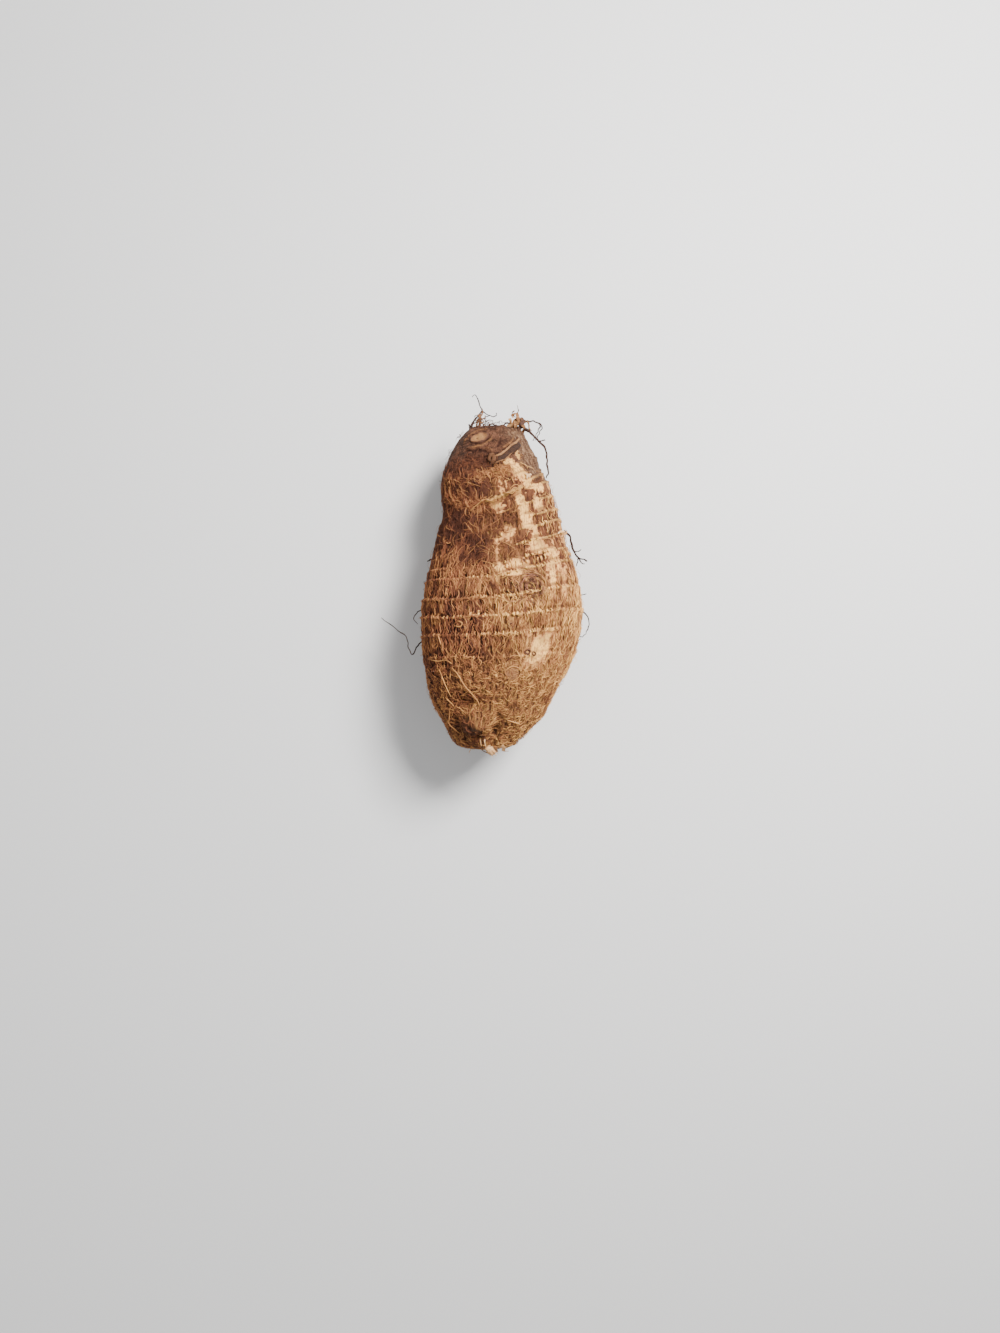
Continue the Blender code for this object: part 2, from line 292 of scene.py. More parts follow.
def ring_place(u, a):
    """The place along the front of the ring that would pass through this point, with a slow waver.

    It is the point's own place less the ring's climb, worked out again until it settles.
    """
    along, half, shift = outline(u)
    x = shift + half * np.cos(a)
    waver = 1.6 * (lattice_noise(u, a, 14, 24, 11) - 0.5)
    place = along
    for _ in range(3):
        place = along - ring_rise(place, x)
    return place + waver * smooth(3, 20, along)


def ring_u(ring, a):
    """The distance along the outline at which a ring passes, moved five times by what it is off by."""
    u = u_at(ring) + np.zeros(np.shape(a))
    for _ in range(5):
        u = np.clip(u + ring - ring_place(u, a), 0.5, END_U - 0.5)
    return u


def facing(u, a):
    """How far each place faces the side with the thin tan coat, from -1 to 1, broken up by noise."""
    return np.cos(a - THIN_SIDE) + 0.75 * (lattice_noise(u, a, 34, 7, 31) - 0.5)


def flank(u, a):
    """1 on the flank where the coat is thin and tan, 0 where it is a thick reddish mat."""
    return smooth(-0.1, 0.8, facing(u, a)) * (0.5 + 0.5 * smooth(20, 50, outline(u)[0]))


def tanness(u, a):
    """1 where the skin and its fibres are tan: on the flank, and less so on the felted base."""
    felt = 0.6 * felted(u, a) * smooth(-1.1, 0.5, facing(u, a))
    return np.maximum(flank(u, a), felt)


def ragged(u, a):
    """The place along the corm, pushed to and fro by noise."""
    return outline(u)[0] + 10 * (lattice_noise(u, a, 24, 10, 61) - 0.5)


def matted(u, a):
    """1 on the matted side of the neck, where long fibres cross each other and hide the rings."""
    return (1 - smooth(0.35, 0.75, facing(u, a))) * smooth(*MAT_FADES_IN, ragged(u, a))


def felted(u, a):
    """1 on the felted base, where fibres grow every way."""
    return 1 - smooth(*FELT_FADES_OUT, ragged(u, a))


def scaly(u, a):
    """1 on the bald side of the neck, where scraps of old leaf bases are left between the rings."""
    place = ragged(u, a)
    fades = smooth(*SCALES_FADE_IN, place), smooth(*SCALES_FADE_OUT, place)
    return smooth(0.2, 0.7, facing(u, a)) * fades[0] * fades[1]


def ring_shape(u, a):
    """Height of the rings: narrow exp(-d^2) ridges, each with a shallow groove on its crown side.

    They are almost lost where fibres grow wild, on the matted neck and the felted base.
    """
    place = ring_place(u, a)
    above = np.clip(np.searchsorted(RINGS, place), 1, len(RINGS) - 1)
    height = np.zeros(place.shape)
    for ring in (above - 1, above):
        off = place - RINGS[ring]
        height += RING_PROMINENCE[ring] * (
            np.exp(-((off / RIDGE_HALF) ** 2)) - GROOVE_DEPTH * np.exp(-((off - GROOVE_OFF) ** 2))
        )
    return height * (1 - 0.8 * np.maximum(matted(u, a), felted(u, a)))


def pits(u, a):
    """Narrow gaps in the fibre mat: 1 in the middle of each and 0 away from them.

    They are exp(-d^2) ovals, one in each cell of a lattice, moved about in it and sized at random.
    """
    columns, spacing = 88, 5.6
    rows = int(END_U / spacing) + 3
    jitter_a, jitter_u, size = np.random.default_rng(23).random((3, rows, columns))
    column, row = np.mod(a, TAU) / TAU * columns, u / spacing
    half = np.maximum(outline(u)[1], 1)
    found = np.zeros(np.broadcast(u, a).shape)
    for step_a in (-1, 0, 1):
        for step_u in (-1, 0, 1):
            cell_a = np.floor(column).astype(int) + step_a
            cell_u = np.clip(np.floor(row).astype(int) + step_u, 0, rows - 1)
            key = (cell_u, cell_a % columns)
            across = (cell_a + 0.2 + 0.6 * jitter_a[key] - column) * TAU / columns * half
            upwards = (cell_u + 0.15 + 0.7 * jitter_u[key] - row) * spacing
            away = (across / (0.45 + 0.40 * size[key])) ** 2 + (upwards / (1.4 + 2.2 * size[key])) ** 2
            found = np.maximum(found, np.exp(-away) * (size[key] > 0.15))
    return found


def drift(u, a):
    """A sideways shift in millimetres that neighbouring strands share, so that they bunch and part."""
    return 2.2 * (lattice_noise(u, a, 84, 3.6, 53) - 0.5)


def clumps(u, a):
    """How much lighter or darker the fibres are around each place: three noises, two in long streaks."""
    wide = lattice_noise(u, a, 50, 8, 89) - 0.5
    streak = lattice_noise(u, a, 110, 7, 97) - 0.5
    fine_streak = lattice_noise(u, a, 190, 5, 101) - 0.5
    return 0.4 * wide + 0.45 * streak + 0.35 * fine_streak


def plates(u, a):
    """A random level for each blocky scrap of old leaf base between two rings, with its sides wavering."""
    columns = 54
    rng = np.random.default_rng(71)
    shift, level = rng.random(len(RINGS) + 1), rng.random((len(RINGS) + 1, columns))
    ring = np.searchsorted(RINGS, ring_place(u, a) + 2.4 * (lattice_noise(u, a, 150, 1.6, 73) - 0.5))
    sway = 1.3 * (lattice_noise(u, a, 150, 1.5, 79) - 0.5)
    column = np.floor(np.mod(a / TAU * columns + shift[ring] + sway, columns)).astype(int)
    return level[ring, column % columns]


def bareness(u, a):
    """How far the skin is rubbed bare: above 0 inside the patches.

    It is the patches' ovals less those of the brown scraps, raised among the scales, less a level for each
    scrap of old leaf base, and less three noises, which break the edges up.
    """
    scales = scaly(u, a)
    rubbed = (1.35 - 0.2 * scales) * spots(u, a, RUBBED_PATCHES)
    specked = 0.6 * spots(u, a, SPECKLED_PATCHES)
    patch = np.maximum(rubbed, specked) - spots(u, a, BROWN_SCRAPS) + 0.64 * scales
    coarse = lattice_noise(u, a, 80, 3.4, 37)
    fine = lattice_noise(u, a, 210, 1.3, 41)
    streaked = lattice_noise(u, a, 240, 6, 47)
    broken = 0.2 * coarse + 0.34 * fine + 0.24 * streaked - 0.13
    return patch - (0.4 + 0.3 * scales) * plates(u, a) - (1.3 + 0.3 * scales) * broken


def bare(u, a):
    """1 on bare skin and 0 under the coat."""
    return smooth(-0.04, 0.05, bareness(u, a))


def crownness(u, a):
    """1 on the smooth mauve crown and its worn shoulder, where no fibres grow, fading out below them."""
    top = smooth(*CROWN_FADES_IN, ring_place(u, a) + 6 * (lattice_noise(u, a, 26, 8, 43) - 0.5))
    return np.maximum(top, np.minimum(1.6 * spots(u, a, WORN_SHOULDER), 1))


def form(u, a):
    """Height of the skin's shapes over the smooth outline: rings, lumps, buds, folds and edges."""
    fade = smooth(0, 6, u) * smooth(0, 5, END_U - u)
    lumps = 1.6 * (lattice_noise(u, a, 11, 26, 3) - 0.5) + 0.9 * (lattice_noise(u, a, 30, 9, 5) - 0.5)
    shapes = sum(height * spots(u, a, [place]) for height, place in SHAPES)
    return fade * (0.75 * ring_shape(u, a) + lumps + shapes + edges(u, a))


def grain(u, a):
    """Height of the skin's grain, mostly below its shapes: gaps in the mat, and wrinkles on the crown."""
    crown = crownness(u, a)
    mat = (1 - bare(u, a)) * (1 - crown)
    bundles = 0.35 * (lattice_noise(u, a, 120, 7, 7) - 1)
    wrinkles = 0.5 * (lattice_noise(u, a, 70, 3, 13) - 0.5)
    return mat * (bundles - 0.9 * pits(u, a)) + crown * wrinkles - 0.35 * (1 - mat)


def bare_point(u, a):
    """A point of the smooth outline: on an ellipse around the middle line, flatter by the depth's share."""
    along, half, shift = outline(u)
    crown = np.clip((along / LENGTH - CROWN_TAPER) / (1 - CROWN_TAPER), 0, 1)
    depth = DEPTH_SHARE - CROWN_DEPTH_LOSS * crown
    middle = MIDDLE_HEIGHT - DROOP * (along + BASE_Y)
    return np.stack(np.broadcast_arrays(
        shift + half * np.cos(a), along + BASE_Y, middle + half * depth * np.sin(a)), axis=-1)


def outward(u, a):
    """The outline's outward direction: the cross product of its slopes along and around, of length one."""
    step, turn = 0.2, 0.01
    u = np.clip(u, 2 * step, END_U - 2 * step)
    around = bare_point(u, a + turn) - bare_point(u, a - turn)
    lengthways = bare_point(u + step, a) - bare_point(u - step, a)
    normal = np.cross(lengthways, around)
    return normal / np.linalg.norm(normal, axis=-1, keepdims=True)


def skin_point(u, a, lift=0.0):
    """A point `lift` over the skin's shapes, and its outward direction. Nothing goes below the floor."""
    normal = outward(u, a)
    height = form(u, a) + lift
    point = bare_point(u, a) + normal * height[..., None]
    point[..., 2] = np.maximum(point[..., 2], SKIN_GAP)
    return point, normal


def add_piece(name, points, faces, material, slot, replaces=(), **attributes):
    """A finished piece: its mesh in metres, kept over the floor, with its attributes and finish.

    The slot is not used.
    """
    points = np.maximum(points, (-np.inf, -np.inf, FLOOR_GAP))
    mesh = bpy.data.meshes.new(name)
    sides = faces.shape[1]
    mesh.vertices.add(len(points))
    mesh.vertices.foreach_set("co", (points * MM).astype(np.float32).ravel())
    mesh.loops.add(faces.size)
    mesh.loops.foreach_set("vertex_index", faces.astype(np.int32).ravel())
    mesh.polygons.add(len(faces))
    mesh.polygons.foreach_set("loop_start", np.arange(0, faces.size, sides, dtype=np.int32))
    mesh.update(calc_edges=True)
    mesh.shade_smooth()
    for key, values in attributes.items():
        layer = mesh.attributes.new(key, "FLOAT", "POINT")
        layer.data.foreach_set("value", np.asarray(values, np.float32).ravel())
    piece = bpy.data.objects.new(name, mesh)
    bpy.context.scene.collection.objects.link(piece)
    mesh.materials.append(material)
    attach(piece, "root")
    if replaces:
        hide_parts(*replaces)


def rolled_faces(rows, columns):
    """Triangles of a closed skin of `rows` rings of `columns` points, then its first pole and its last pole.

    They face outwards when each ring turns like a right-handed screw that moves from the first pole to the
    last.
    """
    row = np.arange(rows - 1)[:, None] * columns
    here, there = np.arange(columns), (np.arange(columns) + 1) % columns
    low, low_next = row + here, row + there
    first, last = rows * columns, rows * columns + 1
    top = (rows - 1) * columns
    return np.concatenate([
        np.stack([low, low_next, low_next + columns], -1).reshape(-1, 3),
        np.stack([low, low_next + columns, low + columns], -1).reshape(-1, 3),
        np.stack([np.full(columns, first), there, here], -1),
        np.stack([np.full(columns, last), top + here, top + there], -1),
    ])


def strand_mesh(path, width, up, sides=3, flatness=0.6):
    """Closed strands, each an oval section `width` across, flatter by `flatness`, carried along its path.

    The section stands square to the path, between the side direction, forward x up, and the rise, side x
    forward. The first and last points of the path are the strand's pointed ends. Also returns how far along
    its strand each point is, from 0 to 1, and how many points a strand has.
    """
    count, steps = path.shape[:2]
    forward = np.gradient(path, axis=1)
    side = np.cross(forward, up)
    side /= np.maximum(np.linalg.norm(side, axis=-1, keepdims=True), 1e-9)
    rise = np.cross(side, forward)
    rise /= np.maximum(np.linalg.norm(rise, axis=-1, keepdims=True), 1e-9)
    turn = math.pi / 2 - TAU * np.arange(sides) / sides
    reach = width[..., None, None] / 2
    corners = (
        path[:, :, None] + side[:, :, None] * reach * np.cos(turn)[:, None]
        + rise[:, :, None] * reach * flatness * np.sin(turn)[:, None]
    )
    rings = corners[:, 1:-1].reshape(count, -1, 3)
    points = np.concatenate([rings, path[:, :1], path[:, -1:]], axis=1)
    each = points.shape[1]
    one = rolled_faces(steps - 2, sides)
    faces = (one[None] + each * np.arange(count)[:, None, None]).reshape(-1, 3)
    share = np.concatenate([np.repeat(np.linspace(0, 1, steps)[1:-1], sides), [0.0, 1.0]])
    return points.reshape(-1, 3), faces, np.tile(share, count), each


def per_point(values, each):
    """One value for each strand, repeated for each of its points."""
    return np.repeat(values, each)


def laid_path(rng, u, a, length, heading, bend, sway, steps):
    """Places (u, a) along strands that lie on the skin: each heads off, turns evenly, sways and drifts.

    Heading 0 is towards the crown, and `bend` is added to it by the strand's end. Each step moves by its
    length times the cosine of the heading along the corm and times its sine around it. For the sway, a sine
    of random phase is added around it.
    """
    share = np.linspace(0, 1, steps)[None]
    turned = heading[:, None] + bend[:, None] * share
    step = length[:, None] / (steps - 1)
    upwards = np.cumsum(np.cos(turned) * step, axis=1) - np.cos(turned[:, :1]) * step
    across = np.cumsum(np.sin(turned) * step, axis=1) - np.sin(turned[:, :1]) * step
    phase, beat = rng.random((2, len(u), 1))
    across = across + sway[:, None] * np.sin(TAU * (phase + share * (0.6 + 0.9 * beat)))
    place = np.clip(u[:, None] + upwards, POLE_GAP, END_U - POLE_GAP)
    around = a[:, None] + across / np.maximum(outline(place)[1], 2.0)
    return place, around + drift(place, around) / np.maximum(outline(place)[1], 8.0)


def scattered(rng, count, low, high):
    """Places spread evenly over the skin between two places along the corm, by area."""
    u = np.linspace(u_at(low), u_at(high), 800)
    area = np.cumsum(outline(u)[1] + 0.5)
    return np.interp(rng.random(count) * area[-1], area, u), rng.random(count) * TAU


def next_ring(u, a):
    """The distance from each place up to the next ring above it, along the corm."""
    place = ring_place(u, a)
    above = np.clip(np.searchsorted(RINGS, place), 0, len(RINGS) - 1)
    return np.maximum(RINGS[above] - place, 0.0)


def bud_turns(u, a, heading, bend, length):
    """Headings and bends, with those near a bud turned straight out from its middle, or around it."""
    for along, degrees, reach, turn, _ in BUDS:
        up, across = unrolled(u, a, along, degrees)
        away = np.hypot(up, across)
        near = away < reach * (0.85 + 0.3 * lattice_noise(u, a, 150, 1.5, 83))
        heading = np.where(near, np.arctan2(across, up) + turn + 0.25 * bend, heading)
        bend = np.where(near, math.sin(turn) * length / np.maximum(away, 1.5) + 0.25 * bend, bend)
    return heading, bend


def budness(u, a):
    """1 over the mauve fibres of the buds, 0 away from them."""
    found = np.zeros(np.broadcast(u, a).shape)
    for along, degrees, reach, _, mauve in BUDS:
        away = np.hypot(*unrolled(u, a, along, degrees)) / reach
        found = np.maximum(found, mauve * smooth(1.1, 0.75, away))
    return found


def curves(lines, steps):
    """A smooth curve of `steps` points through each line of points."""
    return np.stack([
        catmull_rom(np.array(line, float), np.linspace(0, len(line) - 1, steps)) for line in lines
    ])


def skin_curves(lines, steps):
    """Smooth curves through lines of (along, degrees, lift), and the skin's outward directions on them."""
    rows = curves(lines, steps)
    return skin_point(u_at(rows[..., 0]), np.radians(rows[..., 1]), rows[..., 2])


def free_curves(lines, steps):
    """Smooth curves through lines of (sideways, along, height), in the frame."""
    return curves(lines, steps) + (0.0, BASE_Y, 0.0)


def crumpled(points, amount, size, seed):
    """Points pushed about by up to `amount`: three sine waves about `size` long, in random directions."""
    rng = np.random.default_rng(seed)
    for _ in range(3):
        wave, push = (way / np.linalg.norm(way) for way in rng.standard_normal((2, 3)))
        swing = np.sin(points @ wave * TAU / size + rng.random() * TAU)
        points = points + amount / 3 * push * swing[..., None]
    return points


class Finish:
    """A new material, with short calls for the nodes that the finishes share."""

    def __init__(self, name, roughness, specular=0.2):
        """A material with the shader's plain values set."""
        self.material = bpy.data.materials.new(name)
        self.material.use_nodes = True
        self.nodes = self.material.node_tree.nodes
        self.links = self.material.node_tree.links
        self.shader = self.nodes["Principled BSDF"]
        self.shader.inputs["Roughness"].default_value = roughness
        self.shader.inputs["Specular IOR Level"].default_value = specular

    def feed(self, socket, value):
        """Links a socket to the value, or sets it where the value is a plain number or colour."""
        if isinstance(value, bpy.types.NodeSocket):
            self.links.new(value, socket)
        elif socket.type == "RGBA":
            socket.default_value = (*value, 1)
        else:
            socket.default_value = value

    def attribute(self, name):
        """The piece's own values of that name."""
        node = self.nodes.new("ShaderNodeAttribute")
        node.attribute_name = name
        return node.outputs["Fac"]

    def noise(self, size, stretch=(1, 1, 1), detail=3.0, roughness=0.55, offset=0.0):
        """Noise on object coordinates, `size` millimetres in grain and longer by `stretch` on each axis."""
        place = self.nodes.new("ShaderNodeTexCoord")
        mapping = self.nodes.new("ShaderNodeMapping")
        mapping.inputs["Scale"].default_value = [1 / factor for factor in stretch]
        mapping.inputs["Location"].default_value = (offset, offset, offset)
        texture = self.nodes.new("ShaderNodeTexNoise")
        texture.inputs["Scale"].default_value = 1 / (size * MM)
        texture.inputs["Detail"].default_value = detail
        texture.inputs["Roughness"].default_value = roughness
        self.links.new(place.outputs["Object"], mapping.inputs["Vector"])
        self.links.new(mapping.outputs["Vector"], texture.inputs["Vector"])
        return texture.outputs["Fac"]

    def math(self, operation, first, second=0.0):
        """The sum, product or other operation on one or two values."""
        node = self.nodes.new("ShaderNodeMath")
        node.operation = operation
        self.feed(node.inputs[0], first)
        self.feed(node.inputs[1], second)
        return node.outputs["Value"]

    def shifted(self, value, noise, amount):
        """The value plus a noise that averages nothing, times an amount."""
        return self.math("ADD", value, self.math("MULTIPLY", self.math("SUBTRACT", noise, 0.5), amount))

    def between(self, value, low, high):
        """0 below low and 1 above high, smoothly. The other way round if low is more than high."""
        node = self.nodes.new("ShaderNodeMapRange")
        node.interpolation_type = "SMOOTHSTEP"
        self.feed(node.inputs["Value"], value)
        node.inputs["From Min"].default_value = min(low, high)
        node.inputs["From Max"].default_value = max(low, high)
        node.inputs["To Min"].default_value = float(low > high)
        node.inputs["To Max"].default_value = float(low <= high)
        return node.outputs["Result"]

    def mix(self, factor, first, second, blend="MIX"):
        """The first colour at 0 and the second at 1."""
        node = self.nodes.new("ShaderNodeMix")
        node.data_type = "RGBA"
        node.blend_type = blend
        colours = [socket for socket in node.inputs if socket.type == "RGBA"]
        self.feed(node.inputs["Factor"], factor)
        self.feed(colours[0], first)
        self.feed(colours[1], second)
        return next(socket for socket in node.outputs if socket.type == "RGBA")

    def laid_over(self, below, mask, most, colour):
        """A colour laid over another where the mask is 1, and there as thick as `most`."""
        return self.mix(self.math("MULTIPLY", mask, most), below, colour)

    def ramp(self, factor, *stops):
        """A colour ramp through (place, colour) stops."""
        node = self.nodes.new("ShaderNodeValToRGB")
        elements = node.color_ramp.elements
        while len(elements) < len(stops):
            elements.new(0.5)
        for element, (place, colour) in zip(elements, stops):
            element.position = place
            element.color = (*colour, 1)
        self.feed(node.inputs["Fac"], factor)
        return node.outputs["Color"]

    def colour(self, value):
        """Gives the finish its colour."""
        self.feed(self.shader.inputs["Base Color"], value)

    def bump(self, height, depth):
        """Bumps of a real depth, in millimetres."""
        node = self.nodes.new("ShaderNodeBump")
        node.inputs["Distance"].default_value = depth * MM
        self.feed(node.inputs["Height"], height)
        self.links.new(node.outputs["Normal"], self.shader.inputs["Normal"])


def shade(colour, factor):
    """A colour made lighter or darker."""
    return [channel * factor for channel in colour]


def colour_property(name, description, default):
    """A colour that a user can change."""
    return FloatVectorProperty(name=name, description=description, subtype="COLOR", default=default)


class TaroColours(bpy.types.PropertyGroup):
    """The colours of the corm's finishes."""

    # Kept very dark: partly the skin's own brown, partly painted shade in the gaps between the fibres.
    ground: colour_property("Ground", "Skin between the fibres", (0.050, 0.017, 0.010))
    fibre_dark: colour_property("Dark fibre", "The darkest fibres", (0.080, 0.027, 0.015))
    fibre_red: colour_property("Red fibre", "Most fibres of the mat", (0.195, 0.066, 0.029))
    fibre_light: colour_property("Light fibre", "The palest fibres", (0.58, 0.255, 0.092))
    fibre_tan: colour_property("Tan fibre", "Fibres of the thin flank", (0.42, 0.180, 0.064))
    bare: colour_property("Bare skin", "Skin with its fibre rubbed off", (0.77, 0.42, 0.122))
    mauve: colour_property("Crown", "The smooth crown", (0.066, 0.0275, 0.0150))
    root: colour_property("Dry root", "Wiry roots and hairs", (0.075, 0.036, 0.026))
    paper: colour_property("Papery sheath", "Crumpled sheath", (0.24, 0.105, 0.042))
    torn: colour_property("Torn flesh", "Broken ends", (0.56, 0.31, 0.135))
    floor: colour_property("Floor", "The floor", (0.71, 0.71, 0.71))


class TaroSizes(bpy.types.PropertyGroup):
    """How fine the pieces are made."""

    skin_rows: IntProperty(
        name="Skin rows", description="Rows of faces along the corm", default=330, min=40)
    skin_columns: IntProperty(
        name="Skin columns", description="Columns of faces around it", default=226, min=24)
    coat_strands: IntProperty(
        name="Coat strands", description="Under fibres in most bands of the coat", default=7000, min=100)
    fibre_width: FloatProperty(
        name="Fibre width", description="Width of a middling fibre", unit="LENGTH", default=0.00043)
    seed: IntProperty(name="Seed", description="Changes the whole coat", default=5)


class TaroStage(bpy.types.PropertyGroup):
    """The camera and lights."""

    camera_height: FloatProperty(
        name="Camera height", description="Of the camera over the floor", unit="LENGTH", default=0.6255)
    lens: FloatProperty(name="Lens", description="Focal length", unit="CAMERA", default=28.1)
    key_power: FloatProperty(
        name="Main light", description="Power of the main light", unit="POWER", default=24.0)
    fill_power: FloatProperty(
        name="Fill light", description="Power of the fill light", unit="POWER", default=2.0)
    sky: FloatProperty(name="Surroundings", description="Brightness of the surroundings", default=0.5)


def coated_colour(finish, colours, streaks):
    """Skin under the coat: dark red under the mat, tan on the flank, and brown scales on the neck."""
    # Under the mat the skin is darkest, partly as painted shade between the fibres.
    thick = finish.ramp(
        streaks, (0.30, shade(colours.ground, 0.5)), (0.55, colours.ground), (0.75, colours.fibre_red))
    thin = finish.ramp(
        streaks, (0.32, shade(colours.fibre_red, 0.7)), (0.50, colours.fibre_tan), (0.68, colours.bare))
    scales = finish.ramp(
        streaks, (0.32, shade(colours.fibre_red, 0.25)), (0.50, shade(colours.fibre_red, 0.75)),
        (0.68, shade(colours.fibre_tan, 0.7)))
    return finish.mix(finish.attribute("scaly"), finish.mix(finish.attribute("tan"), thick, thin), scales)


def rubbed_colour(finish, colours, streaks, blotches, level):
    """Bare skin: cream in wide blotches, with tan flecks and streaks, and tan where it is only just bare."""
    pale = finish.ramp(
        blotches, (0.35, shade(colours.bare, 0.65)), (0.52, colours.bare),
        (0.70, shade(colours.bare, 1.25)))
    flecks = finish.between(finish.noise(1.0, stretch=(1, 1.8, 1), detail=3, offset=7.0), 0.53, 0.62)
    pale = finish.laid_over(pale, flecks, 0.75, shade(colours.fibre_tan, 0.8))
    pale = finish.mix(finish.between(streaks, 0.45, 0.33), pale, shade(colours.fibre_tan, 0.7))
    return finish.mix(finish.between(level, 0.0, 0.4), shade(colours.fibre_tan, 1.15), pale)


def crown_colour(finish, colours, grain, blotches, contours):
    """The smooth crown: mauve brown, with fine light lines, pale and dark edges, cracks and worn skin."""
    brown = finish.ramp(
        finish.noise(4, stretch=(1.6, 1, 1.6), detail=5, offset=1.0), (0.34, shade(colours.mauve, 0.3)),
        (0.48, shade(colours.mauve, 0.8)), (0.66, shade(colours.mauve, 2.0)))
    brown = finish.laid_over(brown, finish.between(grain, 0.53, 0.66), 0.55, shade(colours.mauve, 3.2))
    brown = finish.laid_over(brown, finish.between(grain, 0.47, 0.34), 0.75, shade(colours.mauve, 0.3))
    brown = finish.laid_over(brown, contours, 0.25, shade(colours.mauve, 2.2))
    edge = finish.shifted(finish.shifted(finish.attribute("edge"), grain, 0.8), blotches, 1.6)
    # Raised edges are paler: partly their own colour, partly painted highlight.
    brown = finish.laid_over(brown, finish.between(edge, 0.2, 1.2), 0.55, shade(colours.fibre_light, 0.5))
    # Sunk edges are darkened with painted shade.
    brown = finish.mix(finish.between(edge, -0.2, -0.75), brown, shade(colours.ground, 0.5))
    cracks = finish.noise(2.2, stretch=(1.8, 1, 1.8), detail=5, roughness=0.7, offset=9.0)
    brown = finish.laid_over(brown, finish.between(cracks, 0.56, 0.64), 0.7, shade(colours.ground, 0.45))
    worn = finish.ramp(
        finish.noise(1.3, stretch=(1, 6, 1), detail=4, offset=5.0), (0.35, shade(colours.mauve, 0.8)),
        (0.50, (0.110, 0.056, 0.030)), (0.66, (0.24, 0.138, 0.076)))
    return finish.mix(finish.attribute("worn"), brown, worn)


def skin_finish(colours):
    """Corm skin: dark between the fibres, tan or cream where they are thin, mauve brown at the crown.

    The rings show as pale lines, partly painted highlight on their ridges, with dark lines of painted shade
    in the grooves beside them, and dark ones around the edges of the bare patches. Hollows and gaps in the
    mat are darkened with painted shade.
    """
    finish = Finish("corm_skin", roughness=0.85, specular=0.15)
    streaks = finish.noise(1.1, stretch=(1, 7, 1), detail=4)
    grain = finish.noise(0.9, detail=4)
    blotches = finish.noise(9, detail=2, offset=3.0)
    level = finish.shifted(finish.attribute("bare"), grain, 0.6)
    lines = finish.math("MULTIPLY", finish.shifted(finish.attribute("place"), grain, 1.4), 4.4)
    contours = finish.between(finish.math("SINE", lines), 0.3, 1.0)

    skin = finish.mix(
        finish.between(level, -0.01, 0.02), coated_colour(finish, colours, streaks),
        rubbed_colour(finish, colours, streaks, blotches, level))
    # Pale ring lines: partly the rings' own pale fibre, partly painted highlight on their ridges.
    ring = finish.between(finish.shifted(finish.attribute("ring"), grain, 0.9), 0.35, 0.75)
    skin = finish.laid_over(skin, ring, 0.75, shade(colours.bare, 0.8))
    # Dark lines of painted shade in the grooves beside the rings and in sunk edges.
    groove = finish.between(finish.attribute("ring"), -0.08, -0.4)
    skin = finish.laid_over(skin, groove, 0.6, shade(colours.fibre_red, 0.5))
    rim = finish.math("MULTIPLY", finish.between(level, -0.10, -0.02), finish.between(level, 0.02, -0.01))
    skin = finish.laid_over(skin, rim, 0.7, shade(colours.fibre_red, 0.55))

    crown = finish.math("MULTIPLY", finish.attribute("crown"), finish.between(level, 0.04, 0.0))
    skin = finish.mix(crown, skin, crown_colour(finish, colours, grain, blotches, contours))
    # Painted shade in the hollows and creases.
    skin = finish.laid_over(skin, finish.attribute("hollow"), 0.65, shade(colours.ground, 0.7))
    # Gaps in the mat are darkened further with painted shade.
    skin = finish.laid_over(skin, finish.attribute("pit"), 0.9, shade(colours.ground, 0.5))
    finish.colour(skin)

    fine = finish.math("ADD", finish.math("MULTIPLY", streaks, 0.7), finish.math("MULTIPLY", grain, 0.5))
    raised = finish.math("MULTIPLY", contours, finish.math("MULTIPLY", finish.attribute("crown"), 0.3))
    finish.bump(finish.math("ADD", fine, raised), 0.9)
    return finish.material


def coat_finish(colours):
    """Fibre coat: each strand has its own tone, red brown in the mat, tan on the flank, mauve on the buds.

    Strands are darker at their roots: painted shade where they leave the skin.
    """
    finish = Finish("fibre_coat", roughness=0.75)
    tone = finish.shifted(finish.attribute("tone"), finish.noise(5, detail=3), 0.5)
    red = finish.ramp(
        tone, (0.0, colours.fibre_dark), (0.40, colours.fibre_red), (0.60, shade(colours.fibre_red, 1.65)),
        (0.80, shade(colours.fibre_light, 0.75)), (1.0, colours.fibre_light))
    tan = finish.ramp(
        tone, (0.0, shade(colours.fibre_red, 0.8)), (0.45, colours.fibre_tan), (0.85, colours.bare),
        (1.0, shade(colours.bare, 1.15)))
    mauve = finish.ramp(
        tone, (0.0, shade(colours.mauve, 0.5)), (0.5, shade(colours.mauve, 2.3)),
        (1.0, shade(colours.mauve, 6.0)))
    coat = finish.mix(finish.attribute("tan"), red, tan)
    coat = finish.mix(finish.attribute("bud"), coat, mauve)
    # Painted shade at the roots of the strands, where they leave the skin.
    painted_root_shade = finish.mix(1.0, coat, (0.55, 0.5, 0.48), "MULTIPLY")
    finish.colour(finish.mix(finish.between(finish.attribute("reach"), 0.0, 0.35), painted_root_shade, coat))
    finish.bump(finish.noise(0.35, stretch=(1, 4, 1), detail=2), 0.12)
    return finish.material


def toned_finish(name, roughness, stops, mottle=0.5, grain=0.8, depth=0.3):
    """A finish whose colour runs through the stops by each point's tone, mottled by two noises."""
    finish = Finish(name, roughness=roughness)
    fine = finish.noise(grain, detail=4)
    tone = finish.shifted(finish.attribute("tone"), fine, mottle)
    finish.colour(finish.ramp(finish.shifted(tone, finish.noise(4, offset=2.0), mottle), *stops))
    finish.bump(fine, depth)
    return finish.material


